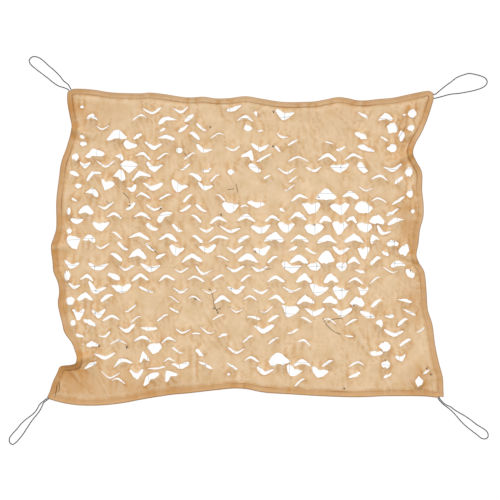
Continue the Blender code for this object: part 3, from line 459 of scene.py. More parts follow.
def smooth_curve(points: Sequence[Sequence[float]], step: float) -> np.ndarray:
    """Samples a Catmull-Rom curve.

    Args:
        points: The points that the curve passes through.
        step: About how far apart the samples lie.

    Returns:
        The samples, both ends included.
    """
    slack = 0.35
    knots = np.array(points, float)
    before, after = 2 * knots[0] - knots[1], 2 * knots[-1] - knots[-2]
    knots = np.vstack([before, knots, after])
    made = []
    for p0, p1, p2, p3 in zip(knots, knots[1:], knots[2:], knots[3:]):
        pieces = max(1, math.ceil(np.linalg.norm(p2 - p1) / step - slack))
        for t in np.arange(pieces) / pieces:
            made.append(
                0.5 * (2 * p1 + (p2 - p0) * t + (2 * p0 - 5 * p1 + 4 * p2 - p3) * t**2
                       + (3 * p1 - p0 - 3 * p2 + p3) * t**3)
            )
    made.append(knots[-2])
    return np.array(made)


def run_along(line: np.ndarray) -> np.ndarray:
    """How far along a line each of its points lies."""
    return np.concatenate([[0], np.cumsum(np.linalg.norm(np.diff(line, axis=0), axis=1))])


def even_curve(points: Sequence[Sequence[float]], step: float) -> np.ndarray:
    """Samples the smooth curve through points evenly.

    Args:
        points: The points that the curve passes through.
        step: About how far apart the samples lie.

    Returns:
        The samples, both ends included.
    """
    finer = 8
    fine = smooth_curve(points, step / finer)
    run = run_along(fine)
    at = np.linspace(0, run[-1], max(2, round(run[-1] / step) + 1))
    return np.stack([np.interp(at, run, fine[:, k]) for k in range(fine.shape[1])], axis=1)


def inset(ring: np.ndarray, depth: float | np.ndarray) -> np.ndarray:
    """Moves a ring inwards along normals that are smoothed along it.

    Args:
        ring: A closed ring of points, clockwise.
        depth: How far each point moves.

    Returns:
        The moved ring.
    """
    normal_spread, least_facing = 0.07, 0.72
    ahead, behind = np.roll(ring, -1, axis=0), np.roll(ring, 1, axis=0)
    tangent = ahead - behind
    normal = np.stack([tangent[:, 1], -tangent[:, 0]], axis=1)
    normal /= np.linalg.norm(normal, axis=1)[:, None]
    length = np.linalg.norm(ahead - ring, axis=1)
    run = np.cumsum(length) - length
    gap = np.abs(run[:, None] - run[None, :])
    gap = np.minimum(gap, length.sum() - gap)
    weight = np.exp(-((gap / normal_spread) ** 2)) * (length + np.roll(length, 1))[None, :]
    soft = weight @ normal
    soft /= np.linalg.norm(soft, axis=1)[:, None]
    facing = np.maximum(least_facing, (soft * normal).sum(axis=1))
    return ring + soft * (depth / facing)[:, None]


def distance_inside(points: np.ndarray, ring: np.ndarray) -> np.ndarray:
    """How far each point lies inside a ring, negative outside it.

    Args:
        points: The points to measure.
        ring: A closed ring of points.

    Returns:
        One distance for each point.
    """
    a, b = ring, np.roll(ring, -1, axis=0)
    along = b - a
    share = ((points[:, None] - a) * along).sum(axis=2) / (along**2).sum(axis=1)
    nearest = a + np.clip(share, 0, 1)[..., None] * along
    distance = np.linalg.norm(points[:, None] - nearest, axis=2).min(axis=1)
    return np.where(is_inside(points, ring), distance, -distance)


def with_middles(ring: np.ndarray) -> np.ndarray:
    """The ring's points and the middles of its sides."""
    return np.vstack([ring, (ring + np.roll(ring, -1, axis=0)) / 2])


def is_inside(points: np.ndarray, ring: np.ndarray) -> np.ndarray:
    """Whether each point lies inside a closed ring.

    Args:
        points: The points to test.
        ring: A closed ring of points.

    Returns:
        True or False for each point.
    """
    a, b = ring, np.roll(ring, -1, axis=0)
    along = b - a
    x, y = points[:, 0:1], points[:, 1:2]
    crosses = (a[:, 1] > y) != (b[:, 1] > y)
    rise = np.where(along[:, 1] == 0, 1, along[:, 1])
    left = x < a[:, 0] + (y - a[:, 1]) / rise * along[:, 0]
    return (crosses & left).sum(axis=1) % 2 == 1


def longest_run(line: np.ndarray, kept: np.ndarray) -> np.ndarray:
    """The longest unbroken stretch of a line whose points are all kept.

    Args:
        line: The line's points.
        kept: Whether each of them is kept.

    Returns:
        The stretch's points, if any.
    """
    edges = np.flatnonzero(np.diff(np.concatenate([[0], kept.astype(int), [0]])))
    stretches = edges.reshape(-1, 2)
    if not len(stretches):
        return line[:0]
    first, after = max(stretches.tolist(), key=lambda ends: ends[1] - ends[0])
    return line[first:after]


def tree_of(points: np.ndarray) -> KDTree:
    """A search tree over points in the plane or in space.

    Args:
        points: The points that it holds.

    Returns:
        The tree, ready to search.
    """
    tree = KDTree(len(points))
    for index, point in enumerate(points):
        tree.insert((*point, 0.0)[:3], index)
    tree.balance()
    return tree


def distance_to(tree: KDTree, points: np.ndarray) -> np.ndarray:
    """How far each point of the plane lies from the nearest point of a search tree."""
    return np.array([tree.find((x, y, 0.0))[2] for x, y in points])


def noise_over(points: np.ndarray, grain: Grain) -> np.ndarray:
    """Smooth noise from -1 to 1 over the plane.

    Args:
        points: Where it is read.
        grain: The pattern.

    Returns:
        One value for each point.
    """
    return np.array([
        noise.noise(Vector((x / grain.size_x, y / grain.size_y, grain.seed))) for x, y in points[:, :2]
    ])


def noise_along(run: np.ndarray, size: float, seed: float) -> np.ndarray:
    """Smooth noise from -1 to 1 along a line.

    Args:
        run: How far along the line it is read.
        size: The size of its features.
        seed: Picks another pattern.

    Returns:
        One value for each place.
    """
    return np.array([noise.noise(Vector((s / size, seed, 0.0))) for s in run])


def bump(place: Drawn | TintPatch, x: Any, y: Any) -> Any:
    """How strongly a stretch of the net reaches a place, from 1 at its middle to 0.

    Args:
        place: The stretch, in millimetres.
        x: How far across the place or places lie, in metres.
        y: How far up they lie.

    Returns:
        A number, or one for each place.
    """
    across, up = (x / MM - place.x) / place.reach_x, (y / MM - place.y) / place.reach_y
    return np.exp(-(across**2) - up**2)


def linear(red: int, green: int, blue: int) -> tuple[float, float, float, float]:
    """A display colour from 0 to 255 as the linear colour that shaders take.

    Args:
        red: Its red.
        green: Its green.
        blue: Its blue.

    Returns:
        The linear colour, fully opaque.
    """
    made = [
        c / 12.92 if c <= 0.04045 else ((c + 0.055) / 1.055) ** 2.4
        for c in (red / 255, green / 255, blue / 255)
    ]
    return (made[0], made[1], made[2], 1.0)


def link_piece(name: str, mesh: bpy.types.Mesh) -> bpy.types.Object:
    """Puts a mesh in the scene as an object at the origin.

    Args:
        name: The object's name.
        mesh: Its mesh.

    Returns:
        The object.
    """
    piece = bpy.data.objects.new(name, mesh)
    bpy.context.scene.collection.objects.link(piece)
    return piece


def polyline_object(name: str, lines: Sequence[np.ndarray]) -> bpy.types.Object:
    """A mesh of bare edges for a node tree to sweep or to dress.

    Args:
        name: The object's name.
        lines: The points of each open line.

    Returns:
        The object.
    """
    edges, start = [], 0
    for line in lines:
        edges += [(start + k, start + k + 1) for k in range(len(line) - 1)]
        start += len(line)
    mesh = bpy.data.meshes.new(name)
    mesh.from_pydata([tuple(p) for line in lines for p in line], edges, [])
    return link_piece(name, mesh)


class ShaderTree:
    """A Principled material under construction."""

    def __init__(self, name: str) -> None:
        """Starts a material that holds a Principled shader and its output.

        Args:
            name: The material's name.
        """
        self.material = bpy.data.materials.new(name)
        self.material.use_nodes = True
        self.nodes = self.material.node_tree.nodes
        self.shader = self.nodes["Principled BSDF"]

    def node(self, kind: str, **settings: Any) -> bpy.types.Node:
        """Adds a node and sets its properties and its inputs.

        Args:
            kind: The node's type name.
            settings: Properties by name, or input values by name with _ for a space.

        Returns:
            The node.
        """
        made = self.nodes.new(kind)
        for key, value in settings.items():
            if hasattr(made, key):
                setattr(made, key, value)
            else:
                made.inputs[key.replace("_", " ")].default_value = value
        return made

    def join(self, source: bpy.types.NodeSocket, target: bpy.types.NodeSocket) -> None:
        """Links an output to an input."""
        self.material.node_tree.links.new(source, target)

    def mixed(self, factor: Any, first: Any, second: Any, blend: str = "MIX") -> bpy.types.NodeSocket:
        """Mixes two colours.

        Args:
            factor: A number or an output socket.
            first: A colour or an output socket.
            second: A colour or an output socket.
            blend: How they are mixed.

        Returns:
            The mixed colour's socket.
        """
        mix = self.node("ShaderNodeMix", data_type="RGBA", blend_type=blend, clamp_factor=True)
        for socket, value in ((mix.inputs[0], factor), (mix.inputs[6], first), (mix.inputs[7], second)):
            if isinstance(value, bpy.types.NodeSocket):
                self.join(value, socket)
            else:
                socket.default_value = value
        return mix.outputs[2]

    def set_shader(self, **values: Any) -> None:
        """Sets the shader's inputs, each by its name with _ for a space."""
        for key, value in values.items():
            self.shader.inputs[key.replace("_", " ")].default_value = value

    def noise(self, vector: bpy.types.NodeSocket, scale: float, detail: float) -> bpy.types.NodeSocket:
        """A noise pattern's value, read at a vector.

        Args:
            vector: Where it is read.
            scale: How many of its features go to the metre.
            detail: How many finer layers it has.

        Returns:
            The value's socket.
        """
        made = self.node("ShaderNodeTexNoise", Scale=scale, Detail=detail, Roughness=0.55)
        self.join(vector, made.inputs["Vector"])
        return made.outputs["Fac"]

    def ranged(self, value: bpy.types.NodeSocket, low: float, high: float,
               to_low: float = 0.0, to_high: float = 1.0) -> bpy.types.NodeSocket:
        """Stretches a value's range from low..high to to_low..to_high, and clamps it there.

        Args:
            value: The socket to stretch.
            low: What becomes to_low.
            high: What becomes to_high.
            to_low: The least that comes out.
            to_high: The most that comes out.

        Returns:
            The stretched value's socket.
        """
        made = self.node("ShaderNodeMapRange", clamp=True)
        self.join(value, made.inputs["Value"])
        for key, number in (("From Min", low), ("From Max", high), ("To Min", to_low), ("To Max", to_high)):
            made.inputs[key].default_value = number
        return made.outputs["Result"]


@dataclass(frozen=True)
class SandClothFinish:
    """Thin woven polyester with a sand dye, warmer where the cuts gape; painted shade warms and darkens its
    folds, cut lips and hem, and a painted highlight pales its crests.
    """

    pale: tuple[int, int, int] = (229, 201, 167)
    body: tuple[int, int, int] = (214, 183, 141)
    warm: tuple[int, int, int] = (210, 155, 90)
    # The dark brown that the painted shade mixes towards.
    shade_brown: tuple[int, int, int] = (154, 106, 58)
    mottles_per_metre: float = 22.0
    mottle_band: tuple[float, float] = (0.28, 0.72)
    fibres_per_metre: float = 420.0
    fibre_dark: float = 0.965
    fibre_light: float = 1.02
    rough_spots_per_metre: float = 60.0
    least_roughness: float = 0.76
    most_roughness: float = 0.92
    yarns_per_metre: float = 900.0
    yarns_per_wave: int = 2
    wave_radians: float = 20.0
    yarn_relief: float = 0.0002
    sheen: float = 0.12
    gloss: float = 0.25

    def build(self) -> bpy.types.Material:
        """Makes the material.

        Returns:
            The finished material.
        """
        tree = ShaderTree("sand_cloth")
        place = tree.node("ShaderNodeTexCoord").outputs["Object"]
        mottle = tree.ranged(tree.noise(place, self.mottles_per_metre, 4.0), *self.mottle_band)
        color = tree.mixed(mottle, linear(*self.body), linear(*self.pale))
        # Warmth, partly painted shade: warmer in the troughs and on the ridges, less warm on the crests.
        warmth = tree.node("ShaderNodeAttribute", attribute_name="warmth").outputs["Fac"]
        color = tree.mixed(warmth, color, linear(*self.warm))
        # Painted shade of the troughs, the cut lips and the hem's edge and seam, with the listed patches,
        # mixed towards a dark brown.
        shade = tree.node("ShaderNodeAttribute", attribute_name="shade").outputs["Fac"]
        color = tree.mixed(shade, color, linear(*self.shade_brown))
        fibre = tree.ranged(tree.noise(place, self.fibres_per_metre, 2.0), *MIDDLE_BAND,
                            self.fibre_dark, self.fibre_light)
        tint = tree.node("ShaderNodeCombineColor")
        for key in ("Red", "Green", "Blue"):
            tree.join(fibre, tint.inputs[key])
        color = tree.mixed(1.0, color, tint.outputs["Color"], "MULTIPLY")
        tree.join(color, tree.shader.inputs["Base Color"])
        rough = tree.ranged(tree.noise(place, self.rough_spots_per_metre, 3.0), *MIDDLE_BAND,
                            self.least_roughness, self.most_roughness)
        tree.join(rough, tree.shader.inputs["Roughness"])
        tree.join(self.weave(tree), tree.shader.inputs["Normal"])
        tree.set_shader(Sheen_Weight=self.sheen, Sheen_Roughness=0.5, Specular_IOR_Level=self.gloss)
        return tree.material

    def weave(self, tree: ShaderTree) -> bpy.types.NodeSocket:
        """A plain weave's normal, from warp and weft bands on the cloth's own map.

        Args:
            tree: The material that it goes into.

        Returns:
            The normal's socket.
        """
        flat = tree.node("ShaderNodeUVMap", uv_map="cloth_map").outputs["UV"]
        scale = self.yarns_per_metre * math.tau / (self.yarns_per_wave * self.wave_radians)
        bands = []
        for direction in ("X", "Y"):
            band = tree.node("ShaderNodeTexWave", wave_type="BANDS", bands_direction=direction,
                             Scale=scale, Distortion=0.6, Detail=1.0)
            tree.join(flat, band.inputs["Vector"])
            bands.append(band.outputs["Fac"])
        cross = tree.node("ShaderNodeMath", operation="MAXIMUM")
        tree.join(bands[0], cross.inputs[0])
        tree.join(bands[1], cross.inputs[1])
        relief = tree.node("ShaderNodeBump", Strength=0.22, Distance=self.yarn_relief)
        tree.join(cross.outputs[0], relief.inputs["Height"])
        return relief.outputs["Normal"]


@dataclass(frozen=True)
class TwistedFinish:
    """Spun or braided line: a dark crown and a darker colour for painted shade between its strands,
    scattered in specks by noise; a little fuzz.
    """

    name: str
    crown: tuple[int, int, int]
    hollow: tuple[int, int, int]
    specks_per_metre: float
    speck_band: tuple[float, float] = (0.35, 0.65)
    worn_spots_per_metre: float = 25.0
    worn_band: tuple[float, float] = (0.45, 0.75)
    worn_share: float = 0.16
    rough_spots_per_metre: float = 90.0
    least_roughness: float = 0.6
    most_roughness: float = 0.9
    hairs_per_metre: float = 1400.0
    hair_relief: float = 0.0003

    def build(self) -> bpy.types.Material:
        """Makes the material.

        Returns:
            The finished material.
        """
        tree = ShaderTree(self.name)
        place = tree.node("ShaderNodeTexCoord").outputs["Object"]
        speck = tree.ranged(tree.noise(place, self.specks_per_metre, 3.0), *self.speck_band)
        # The hollow colour is painted shade between the strands, mixed with the crown in specks by noise.
        color = tree.mixed(speck, linear(*self.hollow), linear(*self.crown))
        wear_and_shade = tree.ranged(tree.noise(place, self.worn_spots_per_metre, 3.0), *self.worn_band)
        paler = tuple(round(c + (255 - c) * self.worn_share) for c in self.crown)
        color = tree.mixed(wear_and_shade, color, linear(*paler))
        tree.join(color, tree.shader.inputs["Base Color"])
        rough = tree.ranged(tree.noise(place, self.rough_spots_per_metre, 2.0), *MIDDLE_BAND,
                            self.least_roughness, self.most_roughness)
        tree.join(rough, tree.shader.inputs["Roughness"])
        fuzz = tree.node("ShaderNodeBump", Strength=0.35, Distance=self.hair_relief)
        tree.join(tree.noise(place, self.hairs_per_metre, 2.0), fuzz.inputs["Height"])
        tree.join(fuzz.outputs["Normal"], tree.shader.inputs["Normal"])
        tree.set_shader(Sheen_Weight=0.15, Specular_IOR_Level=0.3)
        return tree.material


class GrowthTree:
    """A Geometry Nodes tree under construction, with named inputs."""

    def __init__(self, name: str) -> None:
        """Starts a tree that takes and gives geometry.

        Args:
            name: The tree's name.
        """
        self.tree = bpy.data.node_groups.new(name, "GeometryNodeTree")
        self.tree.is_modifier = True
        self.named: dict[str, str] = {}
        interface = self.tree.interface
        interface.new_socket("Geometry", in_out="INPUT", socket_type="NodeSocketGeometry")
        interface.new_socket("Geometry", in_out="OUTPUT", socket_type="NodeSocketGeometry")
        self.start = self.tree.nodes.new("NodeGroupInput")
        self.end = self.tree.nodes.new("NodeGroupOutput")

    def takes(self, name: str, kind: str = "NodeSocketFloat") -> bpy.types.NodeSocket:
        """Adds a named input.

        Args:
            name: What it is called.
            kind: Its socket type.

        Returns:
            The socket that carries it inside the tree.
        """
        made = self.tree.interface.new_socket(name, in_out="INPUT", socket_type=kind)
        self.named[name] = made.identifier
        return self.start.outputs[name]

    def node(self, kind: str, links: dict[str, Any] | None = None, **settings: Any) -> bpy.types.Node:
        """Adds a node.

        Args:
            kind: The node's type name.
            links: For each input, by name or number, an output socket or a value.
            settings: The node's properties.

        Returns:
            The node.
        """
        made = self.tree.nodes.new(kind)
        for key, value in settings.items():
            setattr(made, key, value)
        for key, value in (links or {}).items():
            if isinstance(value, bpy.types.NodeSocket):
                self.tree.links.new(value, made.inputs[key])
            else:
                made.inputs[key].default_value = value
        return made

    def finish(self, geometry: bpy.types.NodeSocket) -> None:
        """Realizes the instances, sets the material and ends the tree.

        Args:
            geometry: The socket that the work ends in.
        """
        material = self.takes("Material", "NodeSocketMaterial")
        whole = self.node("GeometryNodeRealizeInstances", {"Geometry": geometry})
        smooth = self.node("GeometryNodeSetShadeSmooth", {"Geometry": whole.outputs[0]})
        dressed = self.node("GeometryNodeSetMaterial",
                            {"Geometry": smooth.outputs[0], "Material": material})
        self.tree.links.new(dressed.outputs[0], self.end.inputs[0])

    def grow(self, name: str, source: bpy.types.Object, values: dict[str, Any]) -> bpy.types.Object:
        """Runs the tree on an object and keeps the result as a plain mesh.

        Args:
            name: The finished piece's name.
            source: What the tree grows on. It is removed.
            values: The tree's inputs by name.

        Returns:
            The finished piece.
        """
        modifier = source.modifiers.new(self.tree.name, "NODES")
        modifier.node_group = self.tree
        for key, value in values.items():
            modifier[self.named[key]] = value
        graph = bpy.context.evaluated_depsgraph_get()
        mesh = bpy.data.meshes.new_from_object(source.evaluated_get(graph), depsgraph=graph)
        source.modifiers.remove(modifier)
        bpy.data.objects.remove(source)
        mesh.name = name
        return link_piece(name, mesh)


def twisted_line_tree() -> GrowthTree:
    """Sweeps a section of a few lobes along every line and twists it as it goes.

    Returns:
        The tree.
    """
    grown = GrowthTree("twisted_line")
    radius, hollow = grown.takes("Radius"), grown.takes("Hollow Radius")
    turns = grown.takes("Radians per Metre")
    curve = grown.node("GeometryNodeMeshToCurve", {"Mesh": grown.start.outputs["Geometry"]})
    along = grown.node("GeometryNodeSplineParameter")
    tilt = grown.node("ShaderNodeMath", {0: along.outputs["Length"], 1: turns}, operation="MULTIPLY")
    tilted = grown.node("GeometryNodeSetCurveTilt", {"Curve": curve.outputs[0], "Tilt": tilt.outputs[0]})
    section = grown.node(
        "GeometryNodeCurveStar", {"Points": LOBES, "Inner Radius": hollow, "Outer Radius": radius}
    )
    tube = grown.node(
        "GeometryNodeCurveToMesh",
        {"Curve": tilted.outputs[0], "Profile Curve": section.outputs["Curve"], "Fill Caps": True},
    )
    grown.finish(tube.outputs[0])
    return grown


def stitch_tree() -> GrowthTree:
    """Lays one short stitch after another along every line.

    Returns:
        The tree.
    """
    grown = GrowthTree("stitch_row")
    pitch, length, radius = grown.takes("Pitch"), grown.takes("Stitch Length"), grown.takes("Radius")
    curve = grown.node("GeometryNodeMeshToCurve", {"Mesh": grown.start.outputs["Geometry"]})
    even = grown.node("GeometryNodeResampleCurve", {"Curve": curve.outputs[0], "Length": pitch},
                      mode="LENGTH")
    tangent = grown.node("GeometryNodeInputTangent")
    turned = grown.node("FunctionNodeAlignRotationToVector", {"Vector": tangent.outputs[0]}, axis="X")
    bead = grown.node("GeometryNodeMeshUVSphere", {"Segments": 6, "Rings": 4, "Radius": 1.0})
    half = grown.node("ShaderNodeMath", {0: length, 1: 0.5}, operation="MULTIPLY")
    size = grown.node("ShaderNodeCombineXYZ", {"X": half.outputs[0], "Y": radius, "Z": radius})
    row = grown.node(
        "GeometryNodeInstanceOnPoints",
        {"Points": even.outputs[0], "Instance": bead.outputs[0], "Rotation": turned.outputs[0],
         "Scale": size.outputs[0]},
    )
    grown.finish(row.outputs[0])
    return grown


def knot_tree() -> GrowthTree:
    """Sets a knot on every point, turned by the point's own attribute.

    Returns:
        The tree.
    """
    grown = GrowthTree("knot_scatter")
    knot, size = grown.takes("Knot", "NodeSocketObject"), grown.takes("Size")
    shape = grown.node("GeometryNodeObjectInfo", {"Object": knot})
    turn = grown.node("GeometryNodeInputNamedAttribute", {"Name": "turn"}, data_type="FLOAT")
    turned = grown.node("ShaderNodeCombineXYZ", {"Z": turn.outputs["Attribute"]})
    scattered = grown.node(
        "GeometryNodeInstanceOnPoints",
        {"Points": grown.start.outputs["Geometry"], "Instance": shape.outputs["Geometry"],
         "Rotation": turned.outputs[0], "Scale": size},
    )
    grown.finish(scattered.outputs[0])
    return grown


def knot_shape(twine_radius: float) -> bpy.types.Object:
    """A small trefoil of twine, drawn tight, with two cut ends.

    Args:
        twine_radius: The twine's radius.

    Returns:
        An object for a tree to scatter. It is removed once it has been used.
    """
    round_points, wide, thick = 25, 0.62 * twine_radius, 1.2
    t = np.linspace(0, math.tau, round_points)
    knot = wide * np.column_stack([
        np.sin(t) + 2 * np.sin(2 * t), np.cos(t) - 2 * np.cos(2 * t), -thick * np.sin(3 * t),
    ])
    ends = [np.array([[0, 0, 0], [2, side, 0.3], [5, 2.4 * side, -0.6], [9, 5 * side, -1.2]], float)
            * twine_radius for side in (-1, 1)]
    curve = bpy.data.curves.new("knot_shape", "CURVE")
    curve.dimensions = "3D"
    curve.bevel_depth = twine_radius
    curve.bevel_resolution = 1
    curve.use_fill_caps = True
    for line in (knot, *ends):
        spline = curve.splines.new("POLY")
        spline.points.add(len(line) - 1)
        for point, place in zip(spline.points, line):
            point.co = (*place, 1.0)
    holder = bpy.data.objects.new("knot_curve", curve)
    bpy.context.scene.collection.objects.link(holder)
    graph = bpy.context.evaluated_depsgraph_get()
    mesh = bpy.data.meshes.new_from_object(holder.evaluated_get(graph), depsgraph=graph)
    bpy.data.objects.remove(holder)
    bpy.data.curves.remove(curve)
    return link_piece("knot_shape", mesh)


@dataclass(frozen=True)
class LineWork:
    """Twists one finish of line along routes, and ties it in knots."""

    finish: bpy.types.Material
    line_tree: GrowthTree
    knot_tree: GrowthTree
    knot: bpy.types.Object | None = None
    hollow_share: float = 0.72
    knot_seed: int = 5

    def twist(self, name: str, routes: Sequence[np.ndarray], radius: float,
              turns_per_metre: float) -> bpy.types.Object:
        """Twists a line along every route.

        Args:
            name: The finished piece's name.
            routes: The points of each route.
            radius: The line's radius, out to the crowns of its strands.
            turns_per_metre: How many strands pass by in each metre.

        Returns:
            The finished piece.
        """
        return self.line_tree.grow(name, polyline_object(name + "_routes", routes), {
            "Radius": radius, "Hollow Radius": self.hollow_share * radius,
            "Radians per Metre": turns_per_metre * math.tau / LOBES, "Material": self.finish,
        })

    def tie(self, name: str, points: np.ndarray, size: float) -> bpy.types.Object:
        """Sets one knot on each point, each turned its own way.

        Args:
            name: The finished piece's name.
            points: Where the knots go.
            size: Their scale.

        Returns:
            The finished piece.
        """
        source = polyline_object(name + "_points", [point[None] for point in points])
        turn = source.data.attributes.new("turn", "FLOAT", "POINT")
        turns = np.random.default_rng(self.knot_seed).uniform(0, math.tau, len(points))
        turn.data.foreach_set("value", turns.astype(np.float32))
        return self.knot_tree.grow(
            name, source, {"Knot": self.knot, "Size": size, "Material": self.finish}
        )


@dataclass(frozen=True)
class NetOutline:
    """The cloth's scalloped outline, worked out once coarse and once fine."""

    coarse_step: float = 0.050
    fine_step: float = 0.0095

    def mouth_frame(self, corner: Corner) -> tuple[np.ndarray, np.ndarray, np.ndarray]:
        """A mouth's middle, the way it faces and the way along it, clockwise round the net.

        Args:
            corner: Which mouth.

        Returns:
            The three, in metres.
        """
        mouth = MOUTHS[corner]
        angle = math.radians(mouth.facing)
        facing = np.array([math.cos(angle), math.sin(angle)])
        return np.array([mouth.x, mouth.y]) * MM, facing, np.array([facing[1], -facing[0]])

    def mouth_ends(self, corner: Corner) -> tuple[np.ndarray, np.ndarray]:
        """The first and last point of a mouth, clockwise round the net.

        Args:
            corner: Which mouth.

        Returns:
            The two points, in metres.
        """
        middle, _, along = self.mouth_frame(corner)
        half = MOUTHS[corner].width * MM / 2
        return middle - half * along, middle + half * along

    def edge(self, start: np.ndarray, end: np.ndarray, swells: Sequence[Swell],
             step: float) -> np.ndarray:
        """One edge of the net.

        Args:
            start: Its first point.
            end: Its last point.
            swells: How far it swells, and where.
            step: About how far apart its points lie.

        Returns:
            The edge's points.
        """
        along = (end - start) / np.linalg.norm(end - start)
        out = np.array([-along[1], along[0]])
        knots = [start + s.along * MM * along + s.out * MM * out for s in swells]
        return smooth_curve([start, *knots, end], step)

    def drawn(self, step: float) -> np.ndarray:
        """The outline as its tables draw it, clockwise seen from above.

        Args:
            step: About how far apart its points lie.

        Returns:
            The ring of points, in metres.
        """
        top_left, top_right = self.mouth_ends(Corner.TOP_LEFT), self.mouth_ends(Corner.TOP_RIGHT)
        low_right = self.mouth_ends(Corner.BOTTOM_RIGHT)
        low_left = self.mouth_ends(Corner.BOTTOM_LEFT)
        hem_end = np.array(RIGHT_HEM_END) * MM
        return np.vstack([
            self.edge(top_left[1], top_right[0], TOP_EDGE, step),
            self.edge(top_right[1], hem_end, RIGHT_EDGE, step),
            low_right[0],
            self.edge(low_right[1], low_left[0], BOTTOM_EDGE, step),
            self.edge(low_left[1], top_left[0], LEFT_EDGE, step),
        ])

    def middle(self) -> np.ndarray:
        """The middle of the outline's box, which stands over the origin."""
        coarse = self.drawn(self.coarse_step)
        return (coarse.min(axis=0) + coarse.max(axis=0)) / 2

    def stood(self, points: np.ndarray, height: np.ndarray | float) -> np.ndarray:
        """Points of the drawing, moved to where the net lies and raised to a height."""
        return np.column_stack([points - self.middle(), np.broadcast_to(height, len(points))])


@dataclass(frozen=True)
class LeafCuts:
    """The lattice of cuts: cups on it, and arches half a pitch across and a little lower."""

    outline: NetOutline
    pitch_x: float = 0.1055
    pitch_y: float = 0.0818
    columns: int = 14
    rows: int = 14
    first_cup: tuple[float, float] = (-0.683, 0.577)
    arch_drop: float = 0.062
    row_spread: float = 0.008
    stray: tuple[float, float] = (0.0035, 0.0025)
    half_width: float = 0.038
    widths: tuple[float, float] = (0.88, 1.08)
    sag: float = 0.024
    rounding: float = 0.30
    turn_degrees: float = 5.0
    leaf_share: float = 0.70
    lip_taper: float = 0.85
    least_taper: float = 0.5
    tapers_from: float = 0.040
    lip_skew: float = 0.45
    least: float = 0.0012
    shut_reach: float = 0.65
    full_reach: float = 0.050
    margin_sag: float = 0.004
    ragged: float = 0.30
    ragged_size: float = 0.42
    ragged_seed: tuple[float, float] = (37.0, 41.0)
    hem_margin: float = 0.007
    least_strip: float = 0.006
    least_fine_strip: float = 0.0035
    hem_width: float = 0.024
    deepest_hem: float = 0.0265
    row_seed: int = 1000
    column_seed: int = 10
    lip_points: int = 12
    least_lip_points: int = 8
    narrow: float = 0.006
    half_open: float = 0.0085
    wide_open: float = 0.016
    easings: int = 8
    ease_place: float = 0.996
    ease_opening: float = 0.88
    ease_width: float = 0.97

    def wanted(self) -> list[Cut]:
        """Every cut of the net, as it would be with no hem in its way.

        Returns:
            The cuts, in metres.
        """
        cuts = [self.wanted_cut(row, column, shape)
                for row in range(self.rows) for column in range(self.columns) for shape in CutShape]
        for cut in MARGIN_CUTS:
            cuts.append(Cut(cut.x * MM, cut.y * MM, CutShape.ARCH, cut.half_width * MM,
                            self.margin_sag, cut.opening * MM, 0.0, 1.0, math.radians(cut.turn)))
        return cuts

    def lattice_place(self, row: int, column: int, arch: bool) -> tuple[float, float]:
        """Where a cut of the lattice lies.

        Args:
            row: Its row, from the top.
            column: Its column, from the left.
            arch: Whether it is an arch.

        Returns:
            Its x and y.
        """
        low = row / (self.rows - 1)
        x = self.first_cup[0] + (column + 0.5 * arch) * self.pitch_x + self.row_spread * low**2
        y = self.first_cup[1] - row * self.pitch_y - self.arch_drop * arch
        right = sum(place.right * bump(place, x, y) for place in DRAWN)
        up = sum(place.up * bump(place, x, y) for place in DRAWN)
        return x + right * MM, y + up * MM

    def wanted_cut(self, row: int, column: int, shape: CutShape) -> Cut:
        """One cut of the lattice, or as the cloth has drawn it.

        Args:
            row: Its row, from the top.
            column: Its column, from the left.
            shape: Whether it is a cup or an arch.

        Returns:
            The cut.
        """
        arch = shape is CutShape.ARCH
        chart = (ARCH_ROWS if arch else CUP_ROWS)[row]
        opening = chart.openings[column] * MM
        part = OPEN_PARTS[chart.parts[column]]
        dice = random.Random(self.row_seed * row + self.column_seed * column + arch)
        lean = part.side or dice.uniform(-1, 1)
        reach = min(part.share, self.shut_reach + opening / self.full_reach)
        x, y = self.lattice_place(row, column, arch)
        x, y = x + dice.gauss(0, self.stray[0]), y + dice.gauss(0, self.stray[1])
        width = self.half_width * dice.uniform(*self.widths)
        turn = dice.gauss(0, math.radians(self.turn_degrees))
        for odd in ODD_ARCHES if arch else ODD_CUPS:
            if (odd.row, odd.column) == (row, column):
                return Cut(odd.x * MM, odd.y * MM, shape, odd.half_width * MM, odd.sag * MM,
                           opening, lean, 1.0, math.radians(odd.turn))
        return Cut(x, y, shape, width, self.sag, opening, lean, reach, turn)

    def gapes(self, points: np.ndarray, reach: float) -> np.ndarray:
        """How wide the cuts round each point gape, the near ones counting most.

        Args:
            points: Where it is read.
            reach: How far off a cut still counts.

        Returns:
            The mean opening at each point.
        """
        total, weight = np.zeros(len(points)), np.full(len(points), 1e-9)
        for cut in self.wanted():
            near = np.exp(-((points[:, 0] - cut.x) ** 2 + (points[:, 1] - cut.y) ** 2) / reach**2)
            total += near * cut.opening
            weight += near
        return total / weight

    def lip_height(self, cut: Cut, share: np.ndarray, lip: Lip) -> tuple[np.ndarray, np.ndarray]:
        """A lip in the cut's own frame.

        Args:
            cut: The cut.
            share: From -1 to 1 along its gape.
            lip: Which lip.

        Returns:
            How far across and how far up each point lies, before the cut is turned.
        """
        s = cut.lean * (1 - cut.reach) + share * cut.reach
        round_off = math.hypot(1, self.rounding) - self.rounding
        rise = (np.hypot(s, self.rounding) - self.rounding) / round_off
        taper = np.clip(self.lip_taper * cut.opening / self.tapers_from, self.least_taper, self.lip_taper)
        gape = cut.opening * np.maximum(0.0, 1 - share**2) ** taper
        gape = gape * (1 + self.lip_skew * cut.lean * share)
        own = self.leaf_share if lip is Lip.LEAF else self.leaf_share - 1
        seed = Vector((0.0, self.ragged_seed[0] * cut.x + own, self.ragged_seed[1] * cut.y))
        torn = np.array([noise.noise(seed + Vector((a / self.ragged_size, 0, 0))) for a in s.ravel()])
        ragged = self.ragged * cut.opening * torn.reshape(s.shape) * np.maximum(0, 1 - share**2)
        return s * cut.half_width, cut.sag * (rise - 1) + gape * own + ragged

